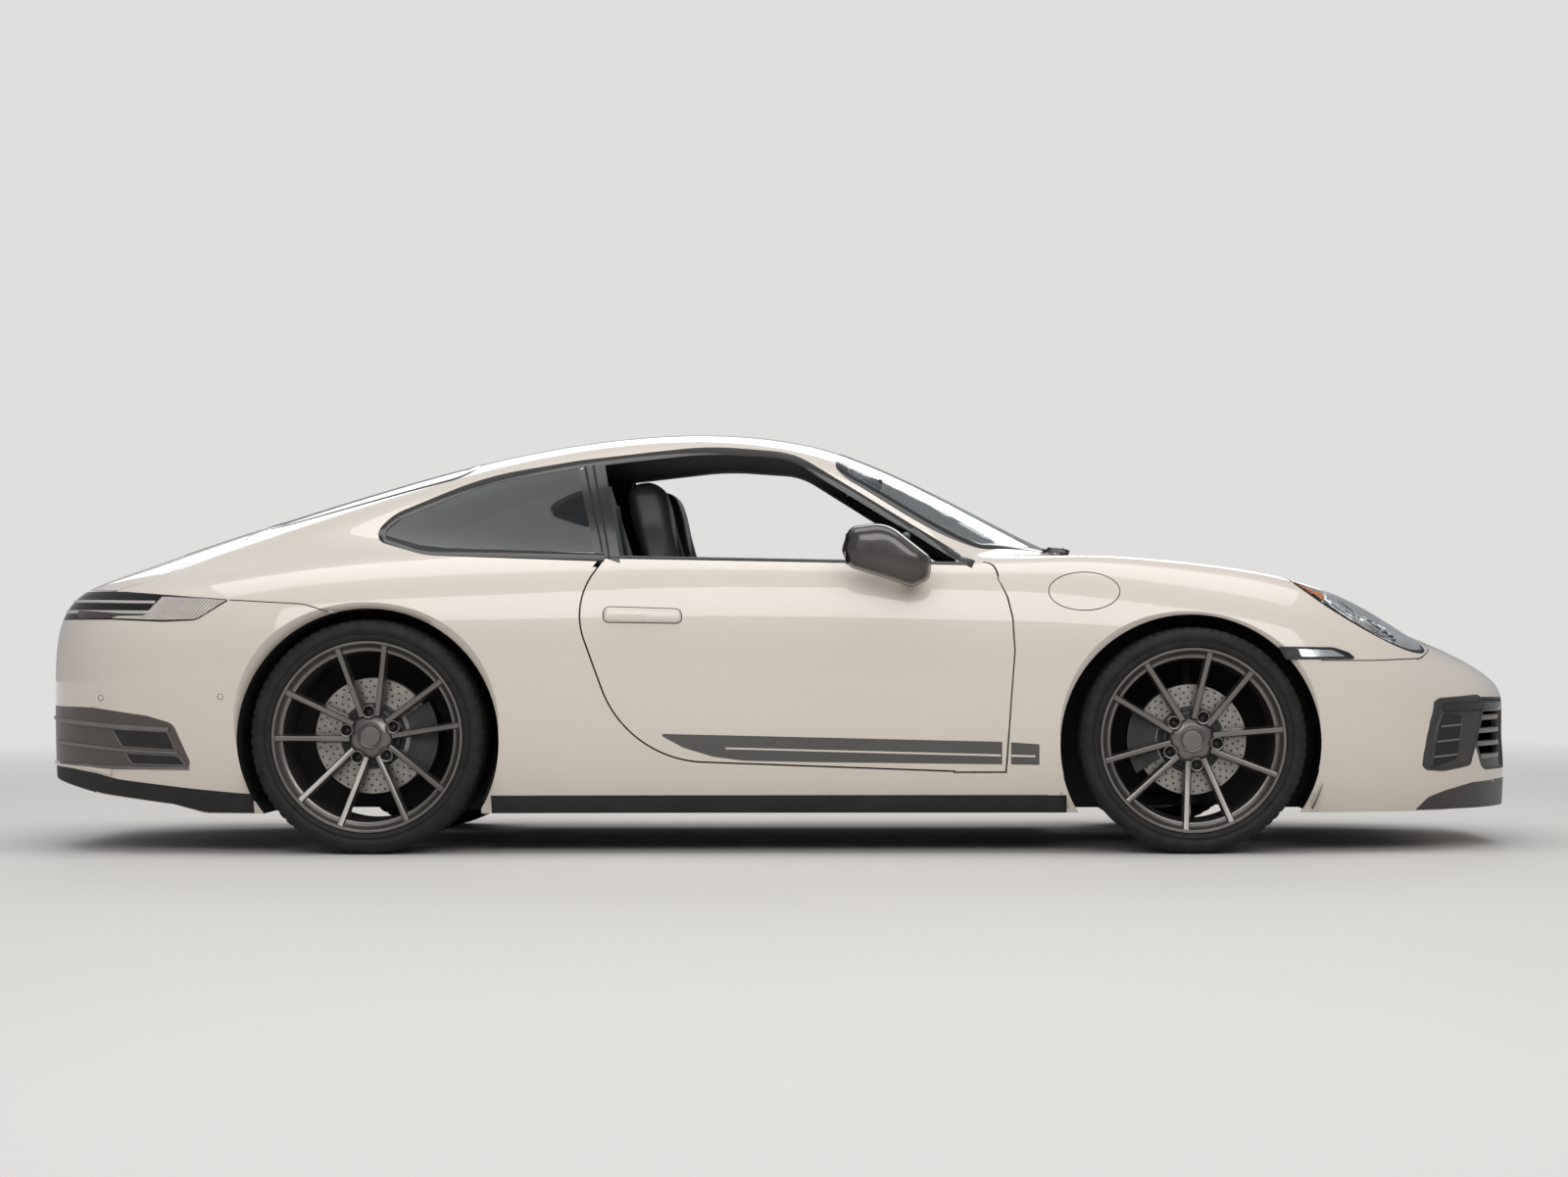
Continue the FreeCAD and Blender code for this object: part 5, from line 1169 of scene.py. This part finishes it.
# Nose intakes: a bevelled frame, vanes with a light edge and the lamp bar's lens
INTAKE = [(290, 452, 25), (655, 458, 40), (680, 380, 40), (600, 236, 50), (330, 236, 40), (262, 330, 60)]
VANES = (275, 315, 355, 395)
CORNER_FRAME = [(553, 466, 20), (633, 462), (739, 456, 20), (756, 444, 10), (773, 389, 60), (779, 339, 60),
                (779, 289, 60), (774, 256, 20), (762, 241, 12), (728, 237), (687, 245), (652, 252, 12),
                (650, 275, 20), (632, 340, 60), (590, 415, 40)]
CORNER_OPENING = [(742, 410, 8), (686, 402, 8), (697, 342), (701, 271, 8), (757, 250, 8), (762, 319),
                  (757, 369)]
CORNER_VANES = [((752, 371), (695, 375)), ((759, 326), (702, 332)), ((760, 281), (706, 287))]
CORNER_LAMP = [(733, 439, 6), (575, 443, 6), (588, 418, 6), (738, 416, 6)]
VANE = ridge(7.4, -26, -15.5, 0.2)
VANE[2:2] = [(-3, -14.5), (3, -14.5)]
LAMP_BAR = ((-14.5, -40), (-14.5, -8), (-13, -5.5), (-6, -4.5), (6, -4.5), (13, -5.5), (14.5, -8),
            (14.5, -40))
# Height, places from the middle, distance from the frame, profile and material number of each bar
INTAKE_BARS = [(z, range(290, 670, 8), 30, VANE, 1) for z in VANES]
INTAKE_BARS.append((428, range(278, 690, 8), 4, LAMP_BAR, 2))
for hand, side in SIDES:
    def on_nose(a, b, lift):
        return from_front(hand * a, b, lift)

    intake = Shape()
    edge = rounded(INTAKE)
    intake.strip(edge, [(-1, -1), (-3, -6), (-8, -13), (-30, -15), (-34, -19), (-35, -34)], on_nose)
    for z, places, inset, profile, kind in INTAKE_BARS:
        reach = [y for y in places if inside(edge, y - inset, z) and inside(edge, y + inset, z)]
        intake.grid([[on_nose(y, z + dz, lift) for y in reach] for dz, lift in profile], kind)
    slab(intake, rounded(CORNER_FRAME), on_nose, 0.8, -4)
    intake.strip(rounded(CORNER_FRAME), [(0, 0.8), (-2, 3), (-6, 3.4), (-9, 0.8)], on_nose)
    intake.patch(rounded(CORNER_OPENING), on_nose, 1.1, 20, 3)
    intake.strip(rounded(CORNER_OPENING), [(4, 0.8), (2, 3.4), (-1, 3.4), (-2, 1)], on_nose)
    for ends in CORNER_VANES:
        intake.strip(even(ends, 10, False), ridge(3, 1, 4.5, 0.5), on_nose, False, 1)
    intake.patch(rounded(CORNER_LAMP), on_nose, 3.6, 20, 2)
    intake.strip(rounded(CORNER_LAMP), [(2, 0.8), (1, 4), (-1.5, 4), (-2.5, 3.5)], on_nose, True, 3)
    intake.show("intake_frame_" + side, "car", "dark_trim", [FRAME_GREY, FIN_GREY, GLOSS_TRIM, LINER])

# Seats: crowned cushions lofted from stations. Each station is x and z of the front point and of the back
# point, half width, how far the side bolsters stand out, and 1 where sewn channels cross the middle
BACKREST = [(-205, 398, -338, 392, 176, 22, 0), (-222, 430, -350, 432, 192, 34, 1),
            (-240, 520, -362, 520, 204, 44, 1), (-258, 640, -384, 640, 214, 48, 1),
            (-274, 760, -406, 760, 216, 44, 1), (-290, 860, -424, 860, 206, 34, 1),
            (-304, 930, -436, 930, 182, 20, 0), (-314, 985, -446, 985, 152, 8, 0),
            (-326, 1050, -458, 1045, 138, 4, 0), (-344, 1100, -462, 1092, 124, 2, 0),
            (-372, 1122, -452, 1112, 96, 0, 0), (-395, 1127, -432, 1122, 50, 0, 0)]
SQUAB = [(-232, 402, -232, 205, 178, 20, 0), (-205, 412, -205, 200, 196, 30, 0),
         (-150, 408, -150, 196, 210, 38, 1), (-60, 414, -60, 196, 216, 42, 1),
         (30, 424, 30, 205, 212, 36, 1), (92, 430, 92, 240, 200, 24, 0), (120, 420, 120, 290, 176, 12, 0),
         (129, 392, 129, 330, 130, 0, 0)]
REAR_BACK = [(-858, 428, -985, 420, 178, 8, 0), (-868, 470, -990, 470, 204, 20, 1),
             (-900, 600, -992, 600, 216, 26, 1), (-930, 720, -994, 720, 210, 18, 1),
             (-948, 785, -994, 785, 186, 6, 0), (-962, 808, -986, 808, 130, 0, 0)]
REAR_SQUAB = [(-862, 418, -862, 200, 180, 12, 0), (-800, 404, -800, 190, 208, 22, 1),
              (-700, 388, -700, 190, 216, 24, 1), (-632, 378, -632, 205, 206, 14, 0),
              (-606, 356, -606, 250, 170, 0, 0)]
SEAM_AT = 0.6
CHANNEL = 62


def cushion(shape, stations, middle, around=72, step=9):
    """A closed, crowned form with side bolsters, their seams and sewn channels across the middle."""
    table = np.array(stations, float)
    run = np.concatenate([[0], np.cumsum(np.linalg.norm(np.diff(table[:, :2], axis=0), axis=1))])
    at = np.linspace(0, run[-1], max(int(run[-1] / step), 12))
    smooth = np.column_stack([np.interp(at, run, table[:, k]) for k in range(7)])
    kernel = np.array([1, 2, 3, 2, 1]) / 9
    for k in range(7):
        padded = np.pad(smooth[:, k], 2, mode="edge")
        smooth[1:-1, k] = np.convolve(padded, kernel, mode="valid")[1:-1]
    rows = []
    for place, (fx, fz, bx, bz, half, bolster, sewn) in zip(at, smooth):
        row = []
        for k in range(around):
            t = 2 * math.pi * k / around
            u = math.copysign(abs(math.cos(t)) ** 0.55, math.cos(t))
            v = math.copysign(abs(math.sin(t)) ** 0.5, math.sin(t))
            depth = (1 - v) / 2
            rise = 0.0
            if v > 0:
                dip = 0.5 * max(0, 1 - abs(u) / SEAM_AT)
                rise = bolster * (math.exp(-((abs(u) - 0.82) / 0.15) ** 2) - dip)
                rise -= 7 * math.exp(-((abs(u) - SEAM_AT) / 0.03) ** 2)
                if abs(u) < SEAM_AT:
                    rise -= 6 * sewn * abs(math.cos(math.pi * place / CHANNEL)) ** 12
            way = Vector((fx - bx, 0, fz - bz)).normalized()
            spot = Vector((fx, middle + half * u, fz)) + (Vector((bx, 0, bz)) - Vector((fx, 0, fz))) * depth
            row.append((spot + way * (rise - bolster * 0.6) * v) * MM)
        rows.append(row)
    shape.grid(rows, 0, True)
    shape.cap(rows)


def soft(name, stations, middles, replaced=()):
    """Cushions as one padded piece."""
    shape = Shape()
    for middle in middles:
        cushion(shape, stations, middle)
    made = shape.show(name, "car", "seat_trim", [LEATHER], replaced, 60)


for hand, side in SIDES:
    middle = hand * 360
    soft("seat_back_" + side, BACKREST, [middle], ["seat_" + side])
    soft("seat_cushion_" + side, SQUAB, [middle])
    shell = Shape()
    shell.box((-318, middle - 150, 181), (60, middle + 150, 215))
    for rail in (-150, 150):
        shell.box((-300, middle + rail - 16, 180.5), (60, middle + rail + 16, 200), 1)
    shell.tube([mm(-405, middle + y, z) for y, z in ((-190, 460), (-192, 700), (-170, 880))], 7, 10)
    shell.show("seat_frame_" + side, "car", "seat_trim", [GRAINED_BLACK, DARK_METAL])
soft("rear_seat_backs", REAR_BACK, [-300, 300], ["rear_seats"])
soft("rear_seat_cushions", REAR_SQUAB, [-300, 300])

# Cabin fittings in plain black: sun visors, the mirror between them and the front belts
SEAT_BELT = ((-470, 690, 1040), (-450, 640, 900), (-400, 600, 700), (-330, 590, 420))
cabin = Shape()
for y in (-330, 330):
    cabin.box((205, y - 150, 1118), (330, y + 150, 1128))
cabin.tube([mm(240, y, 1130) for y in np.linspace(-95, 95, 12)], 14, 16)
for hand, _ in SIDES:
    cabin.tube([mm(x, hand * y, z) for x, y, z in SEAT_BELT], 6, 8)
cabin.show("cabin_fittings", "car", "cabin_trim", [GRAINED_BLACK])

# Dashboard face: vents, a centre screen and the dials (y, radius) behind the wheel
DASH_VENTS = [(-520, 60), (-90, 70), (90, 70), (520, 60)]
DIALS = ((250, 44), (310, 50), (360, 62), (415, 50), (470, 44))
dash = Shape()
for y, half in DASH_VENTS:
    for k in range(4):
        dash.box((466, y - half, 700 + 14 * k), (476, y + half, 706 + 14 * k))
dash.box((464, -110, 600), (478, 110, 685), 1)
for y, r in DIALS:
    def at_dial(a, b, out):
        return mm(506 - out, y + a, 800 + b)

    dash.turned([(r, -24), (r, 4), (r - 3, 6), (r - 5, 2)], at_dial, 40)
    dash.turned([(r - 5, 2), (r - 6, -2), (0.01, -2)], at_dial, 40, 1)
dash.show("dash_details", "car", "cabin_trim", [GRAINED_BLACK, GLOSS_BLACK])

# Inner door cards: an armrest (height, depth) and a pull on each door
ARMREST = ((560, 0), (572, 26), (600, 34), (622, 30), (630, 0))
PULL = ((90, 716), (70, 700), (-60, 700), (-80, 716))
CARD_FACE = 721
for hand, side in SIDES:
    card = Shape()
    card.grid([[mm(x, hand * (CARD_FACE - out * (1 - abs(x + 20) ** 3 / 330 ** 3)), z + (x + 20) * 0.06)
                for x in range(-340, 301, 20)] for z, out in ARMREST])
    card.tube([mm(x, hand * y, 640 + x * 0.1) for x, y in PULL], 8, 12, 1)
    card.show("door_card_" + side, "door_" + side, "cabin_trim", [LEATHER, DARK_METAL])

# Floor, backdrop and lights, in metres and watts
FLOOR_HALF = 60
BACKCLOTH = (0.82, 0.82, 0.81)
BACKCLOTH_STRENGTH = 0.9
FADE = (4, 12)


def pale_floor():
    """A floor that fades into the backdrop's light with the distance from the middle."""
    material, tree, shader = plain("pale_floor", 0.7, Base_Color=(0.62, 0.6, 0.57, 1))
    place = add(tree, "ShaderNodeTexCoord")
    reach = add(tree, "ShaderNodeVectorMath", operation="LENGTH")
    fade = add(tree, "ShaderNodeMapRange", {"From Min": FADE[0], "From Max": FADE[1]},
               interpolation_type="SMOOTHSTEP")
    glow = add(tree, "ShaderNodeEmission", {"Color": BACKCLOTH + (1,), "Strength": BACKCLOTH_STRENGTH})
    mix = add(tree, "ShaderNodeMixShader")
    wire(tree, (place, "Object", reach, 0), (reach, "Value", fade, "Value"), (fade, "Result", mix, "Fac"),
         (shader, "BSDF", mix, 1), (glow, "Emission", mix, 2),
         (mix, "Shader", tree.nodes["Material Output"], "Surface"))
    return material


floor_mesh = bpy.data.meshes.new("floor")
floor_mesh.from_pydata([(x * FLOOR_HALF, y * FLOOR_HALF, 0)
                        for x, y in ((-1, -1), (1, -1), (1, 1), (-1, 1))], [], [(0, 1, 2, 3)])
floor_mesh.materials.append(pale_floor())
floor = bpy.data.objects.new("floor", floor_mesh)
scene.collection.objects.link(floor)


def softbox(name, place, aim, size, power):
    lamp = bpy.data.lights.new(name, "AREA")
    lamp.shape = "RECTANGLE"
    lamp.size, lamp.size_y = size
    lamp.energy = power
    made = bpy.data.objects.new(name, lamp)
    made.location = place
    made.rotation_mode = "QUATERNION"
    made.rotation_quaternion = (Vector(aim) - Vector(place)).to_track_quat("-Z", "Y")
    scene.collection.objects.link(made)


softbox("overhead", (0.0, -0.5, 6.5), (0, 0, 0), (9, 4.5), 280)
softbox("near_side", (0.6, -8.5, 4.6), (0, 0, 0.6), (10, 3.5), 370)
softbox("far_side", (-0.5, 8.0, 4.5), (0, 0, 0.6), (9, 3), 200)

world = bpy.data.worlds.new("studio")
world.use_nodes = True
scene.world = world
sky = world.node_tree
seen_by_camera = add(sky, "ShaderNodeLightPath")
studio = sky.nodes["Background"]
studio.inputs["Color"].default_value = (0.8, 0.82, 0.85, 1)
studio.inputs["Strength"].default_value = 0.45
backcloth = add(sky, "ShaderNodeBackground", {"Color": BACKCLOTH + (1,), "Strength": BACKCLOTH_STRENGTH})
choose = add(sky, "ShaderNodeMixShader")
wire(sky, (seen_by_camera, "Is Camera Ray", choose, "Fac"), (studio, "Background", choose, 1),
     (backcloth, "Background", choose, 2), (choose, "Shader", sky.nodes["World Output"], "Surface"))

scene.view_settings.view_transform = "Standard"
